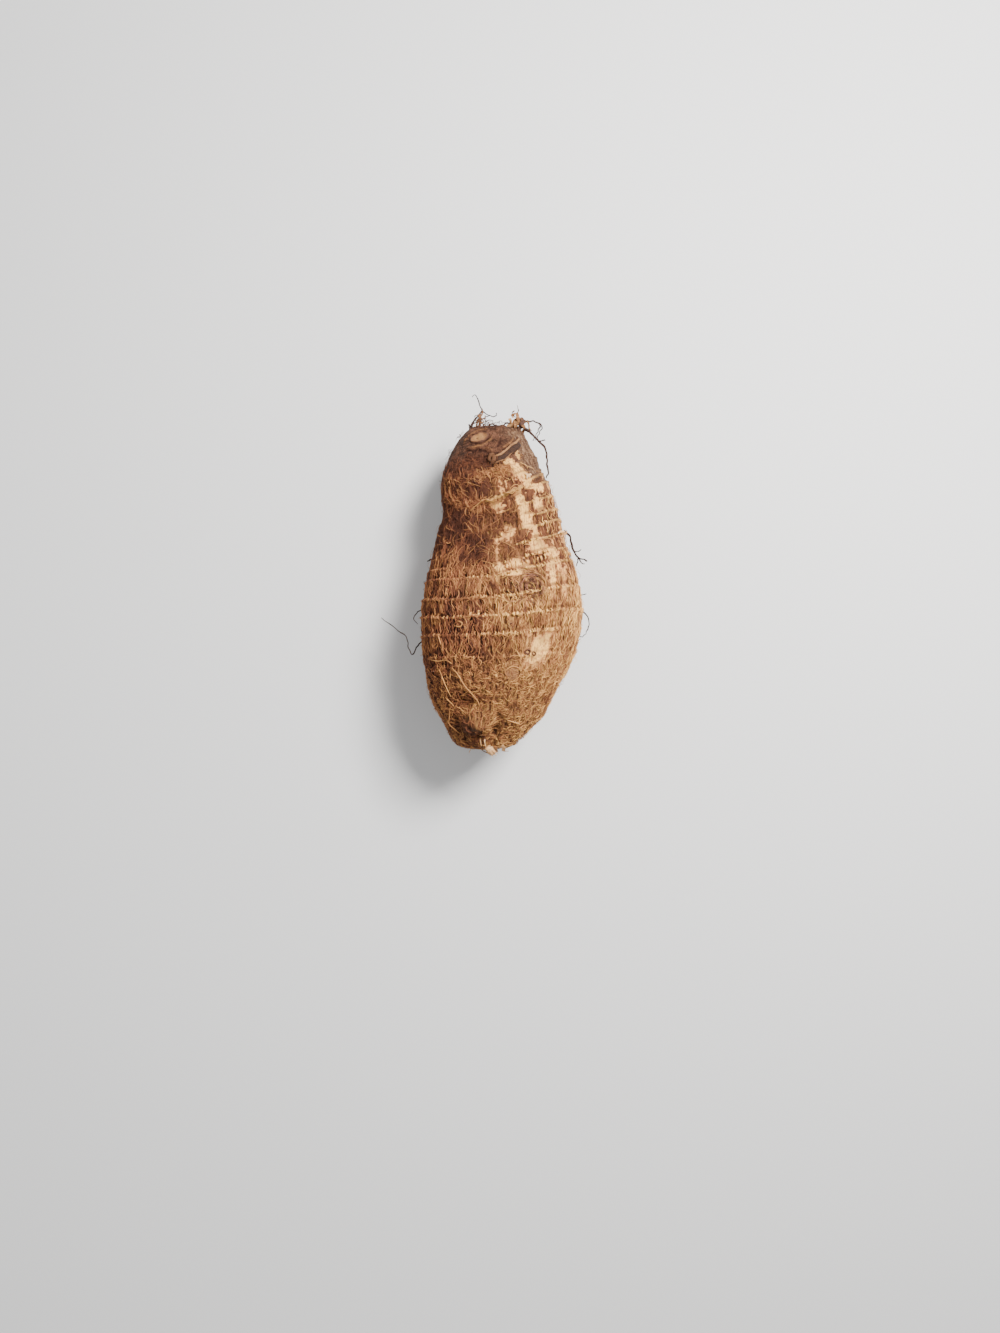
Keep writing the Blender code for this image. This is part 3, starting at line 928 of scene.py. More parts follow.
class TARO_OT_skin(bpy.types.Operator):
    """Make the corm's skin: rings and columns of the outline's points, lifted by its shapes and grain"""

    bl_idname = "taro.skin"
    bl_label = "Skin"

    def execute(self, context):
        """Rows are evenly spaced along the outline and columns around it, with one point at each pole."""
        scene = context.scene
        rows, columns = scene.taro_sizes.skin_rows, scene.taro_sizes.skin_columns
        u = np.linspace(0, END_U, rows + 1)[1:-1, None]
        a = -np.linspace(0, TAU, columns, endpoint=False)[None]
        u_all, a_all = np.broadcast_arrays(u, a)
        points, _ = skin_point(u_all, a_all, grain(u_all, a_all))
        ends, _ = skin_point(np.array([0.0, END_U]), np.zeros(2))
        points = np.vstack([points.reshape(-1, 3), ends])

        def at_points(field):
            """A field's values at the points. The poles take theirs from places just beside them."""
            poles = field(np.array([POLE_GAP, END_U - POLE_GAP]), np.zeros(2))
            return np.concatenate([field(u_all, a_all).ravel(), poles])

        add_piece(
            "corm_skin", points, rolled_faces(rows - 1, columns), skin_finish(scene.taro_colours),
            "corm_skin", ["corm"],
            bare=at_points(bareness), crown=at_points(crownness), tan=at_points(tanness),
            edge=at_points(edges), place=at_points(ring_place),
            worn=at_points(lambda u, a: np.minimum(1.3 * spots(u, a, WORN_SHOULDER), 1)),
            # Where the skin is darkened with painted shade in its hollows.
            hollow=at_points(lambda u, a: spots(u, a, PAINTED_SHADE_HOLLOWS)),
            pit=at_points(lambda u, a: pits(u, a) * (1 - bare(u, a)) * (1 - crownness(u, a))),
            ring=at_points(lambda u, a: ring_shape(u, a) + 0.7 * edges(u, a)), scaly=at_points(scaly),
        )
        return {"FINISHED"}


class TARO_OT_coat(bpy.types.Operator):
    """Make the coat: in four bands along the corm, a layer of under strands and one of paler over strands"""

    bl_idname = "taro.coat"
    bl_label = "Fibre coat"

    # Each band is (name, from, to, middling length, share of the strands, points less than elsewhere).
    BANDS = [
        ("coat_base", 0.08, 44.0, 3.4, 1.6, 1),
        ("coat_lower_belly", 44.0, 80.0, 6.0, 1.0, 0),
        ("coat_upper_belly", 80.0, 116.0, 6.2, 1.0, 0),
        ("coat_neck", 116.0, 156.0, 5.4, 1.0, 0),
    ]
    # Each layer is (name, share of the strands, points, width, sway, lowest lift, highest lift,
    # lowest tone, highest tone).
    LAYERS = [
        ("under", 1.0, 5, 1.05, 0.25, 0.02, 0.45, 0.05, 0.66),
        ("over", 0.2, 7, 0.9, 0.6, 0.25, 1.0, 0.55, 1.0),
    ]
    TRIES = 4  # places tried for each strand that is wanted
    SHORTEST = 1.6  # length of the shortest strand that is kept

    def execute(self, context):
        """One piece for each layer of each band."""
        scene = context.scene
        material = coat_finish(scene.taro_colours)
        rng = np.random.default_rng(scene.taro_sizes.seed)
        for band in self.BANDS:
            for layer in self.LAYERS:
                self.lay(rng, scene.taro_sizes, band, layer, material)
        return {"FINISHED"}

    def lay(self, rng, sizes, band, layer, material):
        """One layer of one band. Its strands rise off the skin in an arc, and some lift at the end."""
        name, low, high, middling, crowd, fewer = band
        kind, portion, steps, wide, sway, low_lift, high_lift, low_tone, high_tone = layer
        steps = steps - fewer
        over = kind == "over"
        wanted = int(sizes.coat_strands * portion * crowd)
        u, a = scattered(rng, self.TRIES * wanted, low, high)
        length, places = self.routes(rng, u, a, middling, sway, steps)
        kept = np.flatnonzero(self.grows(rng, u, a, places, over) & (length > self.SHORTEST))[:wanted]
        count = len(kept)
        share = np.linspace(0, 1, steps)[None]
        height = low_lift + (high_lift - low_lift) * rng.random(count)
        lift = height[:, None] * np.sin(math.pi * share) ** 0.6
        lift = lift + (0.9 * rng.random(count) ** 3)[:, None] * share**2
        path, up = skin_point(places[0][kept], places[1][kept], lift)
        u, a = u[kept], a[kept]
        mat, felt = matted(u, a), felted(u, a)
        width = sizes.fibre_width / MM * wide * rng.lognormal(0.0, 0.35, count)
        width = width * (1 - 0.3 * np.maximum(felt, mat))
        points, faces, reach, each = strand_mesh(path, width[:, None] * (1.05 - 0.45 * share), up)
        tone = rng.uniform(low_tone, high_tone, count) + clumps(u, a)
        # Strands in the hollows are darkened too, as painted shade.
        tone = tone - (0.33 + 0.1 * over) * mat + 0.08 * felt - 0.55 * spots(u, a, PAINTED_SHADE_HOLLOWS)
        add_piece(
            f"{name}_{kind}", points, faces, material, "corm_skin",
            tone=per_point(tone, each), reach=reach, tan=per_point(tanness(u, a), each),
            bud=per_point(budness(u, a), each),
        )

    @staticmethod
    def routes(rng, u, a, middling, sway, steps):
        """Lengths and places of strands that head up the corm, most of which end at the next ring.

        In the mat and the felt they spread wider and cross the rings, and near the buds they turn.
        """
        tries = len(u)
        mat, felt = matted(u, a), felted(u, a)
        length = middling * rng.uniform(0.5, 1.6, tries)
        stops = rng.random(tries) < 0.7 * (1 - np.maximum(mat, felt))
        length = np.where(stops, np.minimum(length, next_ring(u, a) + 1.0), length)
        spread = np.radians(10 + 14 * mat + 44 * felt)
        heading = spread * rng.standard_normal(tries)
        bend = 1.5 * spread * rng.standard_normal(tries)
        heading, bend = bud_turns(u, a, heading, bend, length)
        return length, laid_path(rng, u, a, length, heading, bend, sway * rng.standard_normal(tries), steps)

    @staticmethod
    def grows(rng, u, a, places, over):
        """True for strands that grow. Few do that would cross a gap in the mat, bare skin, an edge or crown.

        They are thinner on the flank and the scaly neck, and so is the layer over the mat.
        """
        tries = len(u)
        gap = pits(*places)[:, 1:-1].max(axis=1) * (1 + 0.5 * flank(u, a))
        hidden = np.maximum(bare(*places).max(axis=1), crownness(u, a))
        hidden = np.maximum(hidden, smooth(0.5, 1.1, edges(*places).max(axis=1)))
        thin = 0.9 * hidden + 0.1 * flank(u, a) + 0.75 * scaly(u, a) + 0.45 * matted(u, a) * over
        return (gap < rng.uniform(0.2, 1.2, tries)) & (thin < rng.uniform(0.15, 1.0, tries))


class TARO_OT_rings(bpy.types.Operator):
    """Make the fibre ends that mark the leaf-scar rings: pale beads in rows, and strands along the rings"""

    bl_idname = "taro.rings"
    bl_label = "Ring fibres"

    # Rows of pale fibre ends: (ring, distance between them, width, length).
    ROWS = [
        (40.5, 3.0, 0.7, 1.8), (50.5, 1.9, 0.7, 2.0), (62.0, 1.5, 0.8, 2.2), (71.3, 1.5, 1.05, 2.5),
        (81.0, 1.25, 0.85, 2.1), (92.2, 1.5, 0.8, 2.0), (95.4, 2.0, 1.2, 3.0), (98.3, 1.6, 0.9, 2.1),
        (106.0, 2.4, 0.9, 1.8), (113.3, 2.6, 1.0, 1.8), (118.9, 2.6, 1.0, 1.8), (126.0, 3.0, 0.9, 1.6),
    ]
    # Strands along the rings: (ring, strands).
    BANDED = [
        (50.5, 70), (62.0, 80), (71.3, 80), (81.0, 90), (92.2, 90), (98.3, 60), (113.3, 30), (134.5, 50),
    ]
    FRONT, FRONT_HALF = math.radians(80), math.radians(42)  # where beads are commonest, and how far around

    def execute(self, context):
        """One piece of beads and one of strands."""
        scene = context.scene
        material = coat_finish(scene.taro_colours)
        rng = np.random.default_rng(scene.taro_sizes.seed + 1)
        self.beads(rng, material)
        self.banded(rng, material)
        return {"FINISHED"}

    def beads(self, rng, material):
        """Each bead is a short plump strand of six points that lies across its ring.

        Its odds are a bell curve around the front, less in the mat and the felt, and in runs set by noise.
        """
        rows = []
        for ring, pitch, wide, long in self.ROWS:
            count = int(TAU * np.interp(ring, OUTLINE[:, 0], OUTLINE[:, 1]) / pitch)
            a = (np.arange(count) + 0.35 * rng.standard_normal(count)) * TAU / count
            u = ring_u(ring, a) + 0.3 * rng.standard_normal(count)
            size = rng.lognormal(0, 0.25, (2, count)) * ((wide,), (long,))
            rows.append(np.stack([u, a, *size]))
        u, a, wide, long = np.concatenate(rows, axis=1)
        front = np.exp(-(((a - self.FRONT) / self.FRONT_HALF) ** 2))
        odds = 0.08 + front - 1.1 * np.maximum(matted(u, a), felted(u, a))
        kept = rng.random(len(u)) < odds * smooth(0.1, 0.6, lattice_noise(u, a, 30, 12, 91))
        u, a, wide, long = u[kept], a[kept], wide[kept], long[kept]
        share = np.linspace(0, 1, 6)[None]
        along = u[:, None] + (share - 0.4) * long[:, None]
        lift = 0.02 + 0.35 * np.sin(math.pi * share) + 0 * along
        path, up = skin_point(along, a[:, None] + 0.25 / 40 * np.sin(7 * along), lift)
        width = wide[:, None] * np.sin(math.pi * (0.12 + 0.8 * share)) ** 0.6
        points, faces, _, each = strand_mesh(path, width, up, sides=5, flatness=0.5)
        points = crumpled(points, 0.5, 1.9, 7)
        tone = rng.uniform(0.55, 1.05, len(u))
        add_piece(
            "ring_beads", points, faces, material, "corm_skin", tone=per_point(tone, each),
            reach=np.ones(len(points)), tan=per_point(0.6 + 0.4 * flank(u, a), each),
        )

    def banded(self, rng, material):
        """Strands of nine points that keep to the place of their ring, with a slow sway off it."""
        ring = np.concatenate([np.full(count, place) for place, count in self.BANDED])
        count = len(ring)
        steps = 9
        middle = steps // 2
        share = np.linspace(0, 1, steps)[None]
        a = rng.random(count) * TAU
        length = rng.uniform(3, 9, count)
        around = a[:, None] + length[:, None] / 38 * (share - 0.5)
        phase = rng.random((count, 1))
        u = ring_u(ring[:, None], around) + 0.45 * np.sin(TAU * (phase + share * 1.3))
        u = u + 0.5 * rng.standard_normal((count, 1))
        odds = 1.0 - 0.6 * flank(u[:, middle], a) - bare(u[:, middle], a)
        kept = rng.random(count) < odds * smooth(0.2, 0.7, lattice_noise(u[:, middle], a, 26, 12, 93))
        lift = (0.35 + 0.6 * rng.random((count, 1))) * np.sin(math.pi * share) ** 0.5
        path, up = skin_point(u[kept], around[kept], lift[kept])
        count = len(path)
        width = 0.5 * rng.lognormal(0, 0.2, (count, 1)) * (1.0 - 0.3 * share)
        points, faces, reach, each = strand_mesh(path, width, up)
        add_piece(
            "ring_strands", points, faces, material, "corm_skin",
            tone=per_point(rng.uniform(0.4, 0.9, count), each), reach=reach,
            tan=per_point(flank(u[kept][:, middle], a[kept]), each),
        )


class TARO_OT_hairs(bpy.types.Operator):
    """Make the loose hairs: fringes along two rings, tufts in the hollows, curled hairs and long strays"""

    bl_idname = "taro.hairs"
    bl_label = "Loose hairs"

    # Each tuft is (line of (along, degrees), strands, reach off it, middling length, lift, width,
    # lowest tone, highest tone).
    TUFTS = [
        ([(147.5, 160), (146.1, 134), (147.1, 107), (149.2, 96), (151, 84), (153.6, 74)],
         330, 1.3, 3.6, 1.4, 0.32, 0.45, 1.0),
        ([(153, 168), (153, 140), (155, 118), (154, 103)], 200, 2.8, 4.2, 1.1, 0.29, -0.05, 0.6),
        ([(139.5, 153), (135.7, 138), (131.5, 118), (133.7, 106)], 280, 1.4, 3.8, 1.4, 0.32, 0.4, 0.95),
        ([(124, 152), (126, 120), (118, 100), (112, 95)], 60, 9.0, 8.0, 1.6, 0.28, 0.3, 0.85),
        ([(104, 150), (106, 120), (104, 98)], 50, 7.0, 8.0, 1.6, 0.28, 0.3, 0.85),
        ([(159, 110), (157, 100), (158.5, 92)], 150, 2.8, 4.2, 1.4, 0.29, -0.4, 0.2),
        ([(158, 168), (157, 140), (158, 120), (154, 104), (153, 88)], 210, 3.4, 4.0, 0.7, 0.27, -0.3, 0.3),
        ([(180.5, 125), (181, 100), (181, 70)], 26, 1.5, 3.2, 1.6, 0.42, -0.3, 0.1),
        ([(176, 164), (174, 166)], 7, 0.8, 3.4, 1.8, 0.42, -0.3, 0.2),
        ([(167, 172), (165, 175)], 7, 0.8, 3.4, 1.8, 0.42, -0.3, 0.2),
        ([(8.0, 102), (7.4, 95)], 30, 1.6, 4.0, 1.6, 0.4, -0.1, 0.5),
        ([(30, 128), (27, 112), (26, 100)], 50, 3.5, 6.0, 1.3, 0.42, 0.2, 0.8),
    ]
    # Single long strands over the skin, as lines of (along, degrees, lift).
    STRAYS = [
        [(45.5, 127, 0.9), (41.7, 120.4, 1.3), (35.9, 114.2, 1.5), (30.1, 105.7, 1.7), (24.7, 101, 1.2)],
        [(29.3, 137.5, 0.6), (27.2, 131.7, 1.4), (24.5, 128.2, 1.2)],
        [(23.9, 134, 0.8), (18.3, 139, 1.5), (15.5, 143, 1.6), (12.3, 137.6, 1.4), (8.5, 128.4, 0.8)],
        [(44.9, 140.7, 0.6), (36.3, 134, 1.4), (29.4, 129.6, 0.8)],
        [(129.1, 119.4, 1.0), (131.7, 113.3, 1.8), (134.8, 105.5, 1.4)],
        [(49.8, 154, 0.8), (48.7, 140.2, 1.4), (49.2, 130.9, 1.4), (47.1, 126, 0.7)],
        [(42.3, 84.5, 0.7), (44.6, 82.2, 1.2), (46.0, 78.1, 1.3), (45.2, 73.6, 1.2), (42.3, 69.9, 0.7)],
        [(17.6, 72.5, 0.7), (16.4, 60, 1.4), (15.8, 54.9, 1.0)],
        [(14.1, 56.4, 0.7), (16.8, 50.9, 1.5), (21.3, 54, 0.9)],
        [(67.2, 123.2, 0.8), (66.6, 119, 1.3), (68.7, 117.4, 1.3), (69.8, 121.5, 0.8)],
        [(132.0, 112, 0.4), (134.6, 104, 1.0), (134.2, 98, 1.2), (136.0, 94, 0.4)],
        [(138.6, 86, 0.4), (138.2, 81, 1.2), (141.0, 76, 1.3), (140.6, 71, 0.5)],
    ]

    def execute(self, context):
        """One piece of tufts, one of single hairs and one of strays."""
        scene = context.scene
        self.material = coat_finish(scene.taro_colours)
        rng = np.random.default_rng(scene.taro_sizes.seed + 2)
        self.tufts(rng)
        self.single(rng)
        self.strays(rng)
        return {"FINISHED"}

    def curled(self, rng, u, a, length, lift, curl, steps=8):
        """Strands that head roughly up or down, curl, and rise in an arc or towards a free end."""
        count = len(u)
        heading = math.pi * rng.integers(0, 2, count) + 0.8 * rng.standard_normal(count)
        bend = curl * rng.standard_normal(count)
        places = laid_path(rng, u, a, length, heading, bend, 0.3 * rng.standard_normal(count), steps)
        share = np.linspace(0, 1, steps)[None]
        arc = np.sin(math.pi * share) ** 0.8
        free = np.where(rng.random((count, 1)) < 0.4, share**1.5, arc)
        return skin_point(*places, 0.1 + lift[:, None] * free)

    def finish_strands(self, name, path, up, width, tone, tan):
        """The piece made of these strands."""
        points, faces, reach, each = strand_mesh(path, width, up)
        add_piece(
            name, points, faces, self.material, "corm_skin",
            tone=per_point(tone, each), reach=reach, tan=per_point(tan, each),
        )

    def tufts(self, rng):
        """Each strand starts at an even share along its tuft's line, off it by a bell curve of its reach."""
        parts = []
        for line, count, reach, long, lift, wide, low, high in self.TUFTS:
            places = catmull_rom(np.array(line, float), rng.random(count) * (len(line) - 1))
            off_up, off_across = reach * rng.standard_normal((2, count))
            u = u_at(places[:, 0]) + off_up
            a = np.radians(places[:, 1]) + off_across / outline(u)[1]
            length = long * rng.uniform(0.5, 1.6, count)
            path, up = self.curled(rng, u, a, length, lift * rng.uniform(0.3, 1.2, count), 1.0)
            width = wide * rng.lognormal(0, 0.2, count)
            parts.append((path, up, width, rng.uniform(low, high, count), 0.3 * flank(u, a)))
        path, up, width, tone, tan = (np.concatenate(part) for part in zip(*parts))
        taper = np.linspace(1.0, 0.6, path.shape[1])
        self.finish_strands("tufts", path, up, width[:, None] * taper, tone, tan)

    def single(self, rng):
        """Thin curled hairs spread over the coat, some dark and some pale."""
        count = 760
        u, a = scattered(rng, count, 4, 154)
        path, up = self.curled(rng, u, a, rng.uniform(3, 9, count), rng.uniform(0.6, 2.4, count), 1.3)
        width = rng.uniform(0.24, 0.38, (count, 1)) * np.linspace(1.0, 0.6, path.shape[1])
        tone = np.where(rng.random(count) < 0.3, -0.3, rng.uniform(0.5, 1.0, count))
        self.finish_strands("single_hairs", path, up, width, tone, flank(u, a))

    def strays(self, rng):
        """The long strands that lie over the coat."""
        path, up = skin_curves(self.STRAYS, 20)
        count = len(path)
        width = 0.75 * np.linspace(1.0, 0.7, 20) * np.ones((count, 1))
        tone = rng.uniform(0.7, 0.95, count)
        self.finish_strands("stray_strands", path, up, width, tone, np.full(count, 0.3))


class TARO_OT_scars(bpy.types.Operator):
    """Make the round scars: the pale oval at the crown, the root scars and the ringed scar on the belly"""

    bl_idname = "taro.scars"
    bl_label = "Scars"

    # Each face is rings from the middle out: (share of the radius, lift, tone).
    OVAL = [
        (0.07, 0.10, 0.25), (0.15, 0.30, 0.8), (0.30, 0.42, 0.9), (0.38, 0.36, 0.62), (0.45, 0.46, 0.8),
        (0.58, 0.50, 0.78), (0.66, 0.42, 0.52), (0.74, 0.52, 0.62), (0.84, 0.60, 0.5), (0.90, 0.75, 0.4),
        (0.96, 0.85, 0.3), (1.02, 0.7, 0.2), (1.10, 0.30, 0.15), (1.2, -0.6, 0.15),
    ]
    HOLE = [
        (0.2, -0.45, 0.6), (0.38, -0.35, 0.5), (0.50, 0.05, 0.05), (0.66, 0.35, 0.0), (0.84, 0.35, 0.2),
        (1.0, 0.1, 0.5), (1.15, -0.5, 0.7),
    ]
    RINGED = [
        (0.3, 0.35, 0.55), (0.6, 0.4, 0.5), (0.76, 0.3, 0.36), (0.86, 0.5, 0.6), (0.96, 0.5, 0.6),
        (1.06, 0.1, 0.4), (1.2, -0.6, 0.3),
    ]
    DOT = [(0.45, -0.2, 0.0), (0.65, 0.1, 0.1), (0.85, 0.3, 0.55), (1.0, 0.2, 0.6), (1.25, -0.5, 0.6)]
    TURNS = 44  # points around each ring
    UNDERSIDE = (0.0, -1.5, 0.0)  # the point that closes a scar below
    # Each scar is (rings, along, degrees, half width, half length, tilt, sideways place of its eye).
    SCARS = [
        (OVAL, 172.6, 112.0, 4.9, 3.3, -14.0, 1.3),
        (HOLE, 53.4, 68.7, 1.9, 1.6, 0.0, 0.0), (HOLE, 52.6, 63.2, 1.3, 1.0, 20.0, 0.0),
        (RINGED, 41.8, 77.1, 3.3, 3.2, 0.0, 0.0),
        (DOT, 163.5, 52.1, 0.8, 0.7, 0.0, 0.0), (DOT, 163.0, 46.8, 0.6, 0.7, 0.0, 0.0),
        (DOT, 160.9, 50.4, 0.7, 0.6, 0.0, 0.0), (DOT, 102.1, 73.7, 0.9, 0.9, 0.0, 0.0),
        (DOT, 67.2, 83.4, 1.8, 1.7, 0.0, 0.0), (HOLE, 96.0, 212.0, 1.7, 1.5, 0.0, 0.0),
        (HOLE, 60.0, 300.0, 1.9, 1.6, 0.0, 0.0), (DOT, 128.0, 240.0, 1.1, 1.0, 0.0, 0.0),
        (HOLE, 120.0, 320.0, 1.5, 1.4, 0.0, 0.0), (DOT, 76.0, 182.0, 1.2, 1.1, 0.0, 0.0),
    ]

    def execute(self, context):
        """Each scar is oval rings of points around its middle, tucked under the skin and closed below."""
        colours = context.scene.taro_colours
        material = toned_finish("scar", 0.7, [
            (0.0, shade(colours.ground, 0.9)), (0.25, shade(colours.mauve, 1.2)),
            (0.5, shade(colours.paper, 0.9)), (0.8, (0.26, 0.125, 0.042)), (1.0, (0.44, 0.24, 0.090)),
        ])
        angle = TAU * np.arange(self.TURNS) / self.TURNS
        parts = []
        offset = 0
        for rings, along, degrees, half_wide, half_long, tilt, eye in self.SCARS:
            middle = (0.0, *rings[0][1:])
            share, lift, tone = np.array([*rings, middle, self.UNDERSIDE]).T
            across = share[:, None] * half_wide * np.cos(angle) + eye * np.clip(1 - share[:, None], 0, 1)
            up = share[:, None] * half_long * np.sin(angle)
            lean = math.radians(tilt)
            u = u_at(along) + across * math.sin(lean) + up * math.cos(lean)
            around = across * math.cos(lean) - up * math.sin(lean)
            a = math.radians(degrees) + around / outline(u_at(along))[1]
            points, _ = skin_point(u, a, lift[:, None] + 0 * u)
            rows = len(rings)
            parts.append((
                np.vstack([points[:rows].reshape(-1, 3), points[rows:, 0]]),
                rolled_faces(rows, self.TURNS) + offset,
                np.concatenate([np.repeat(tone[:rows], self.TURNS), tone[rows:]]),
            ))
            offset += rows * self.TURNS + 2
        points, faces, tone = (np.concatenate(part) for part in zip(*parts))
        points = crumpled(points, 0.4, 3.1, 8)
        add_piece("scars", points, faces, material, "corm_skin", tone=tone)
        return {"FINISHED"}


class TARO_OT_strap(bpy.types.Operator):
    """Make the leaf scale: a brown strap over the crown with pale edges and a curled knob at its low end"""

    bl_idname = "taro.strap"
    bl_label = "Leaf scale"

    # Each part is (width, flatness, tone, line of (along, degrees, lift)).
    PARTS = [
        (4.4, 0.22, 0.05, [(158.0, 87, 0.1), (159.2, 80, 0.5), (161.8, 71, 0.6), (165.0, 61.5, 0.6),
                           (168.2, 52, 0.5), (170.2, 45, 0.0)]),
        (1.3, 0.9, 0.85, [(160.4, 87, 0.5), (160.6, 83, 0.8), (161.6, 78, 0.9), (164.6, 69.6, 0.9),
                          (168.0, 59, 0.9), (171.2, 48, 0.6), (172.6, 42, 0.0)]),
        (0.8, 0.9, 0.7, [(156.8, 86, 0.2), (157.2, 79, 0.6), (159.4, 71, 0.6), (162.8, 62.6, 0.6),
                         (166.8, 51, 0.5), (168.4, 45, 0.0)]),
        (2.3, 0.8, 0.5, [(162.4, 86.0, 0.0), (162.2, 90.5, 0.6), (160.2, 92.5, 0.8), (158.0, 90.5, 0.8),
                         (158.4, 87.0, 0.9), (160.0, 87.2, 1.1), (160.4, 88.8, 0.9)]),
        (1.0, 0.8, 0.3, [(157.0, 94.0, 0.0), (155.9, 90.0, 0.6), (156.0, 85.0, 0.6), (157.0, 81.0, 0.0)]),
    ]

    def execute(self, context):
        """Each part is a flattened strand along its line, rounded at both ends and pushed about a little."""
        colours = context.scene.taro_colours
        material = toned_finish("leaf_scale", 0.75, [
            (0.0, shade(colours.mauve, 0.35)), (0.25, (0.050, 0.0205, 0.0095)), (0.6, (0.12, 0.049, 0.020)),
            (0.9, (0.27, 0.130, 0.052)),
        ], mottle=0.8)
        steps, sides = 40, 10
        path, up = skin_curves([line for *_, line in self.PARTS], steps)
        wide, flatness, tone = np.array([part[:3] for part in self.PARTS]).T
        share = np.linspace(0, 1, steps)
        width = wide[:, None] * np.clip(6 * np.minimum(share, 1 - share), 0.1, 1) ** 0.5
        points, faces, _, each = strand_mesh(path, width, up, sides, flatness[:, None, None, None])
        points = crumpled(crumpled(points, 0.5, 5.0, 5), 0.2, 1.8, 6)
        add_piece(
            "leaf_scale_strap", points, faces, material, "papery_sheath", ["leaf_scale"],
            tone=per_point(tone, each))
        return {"FINISHED"}


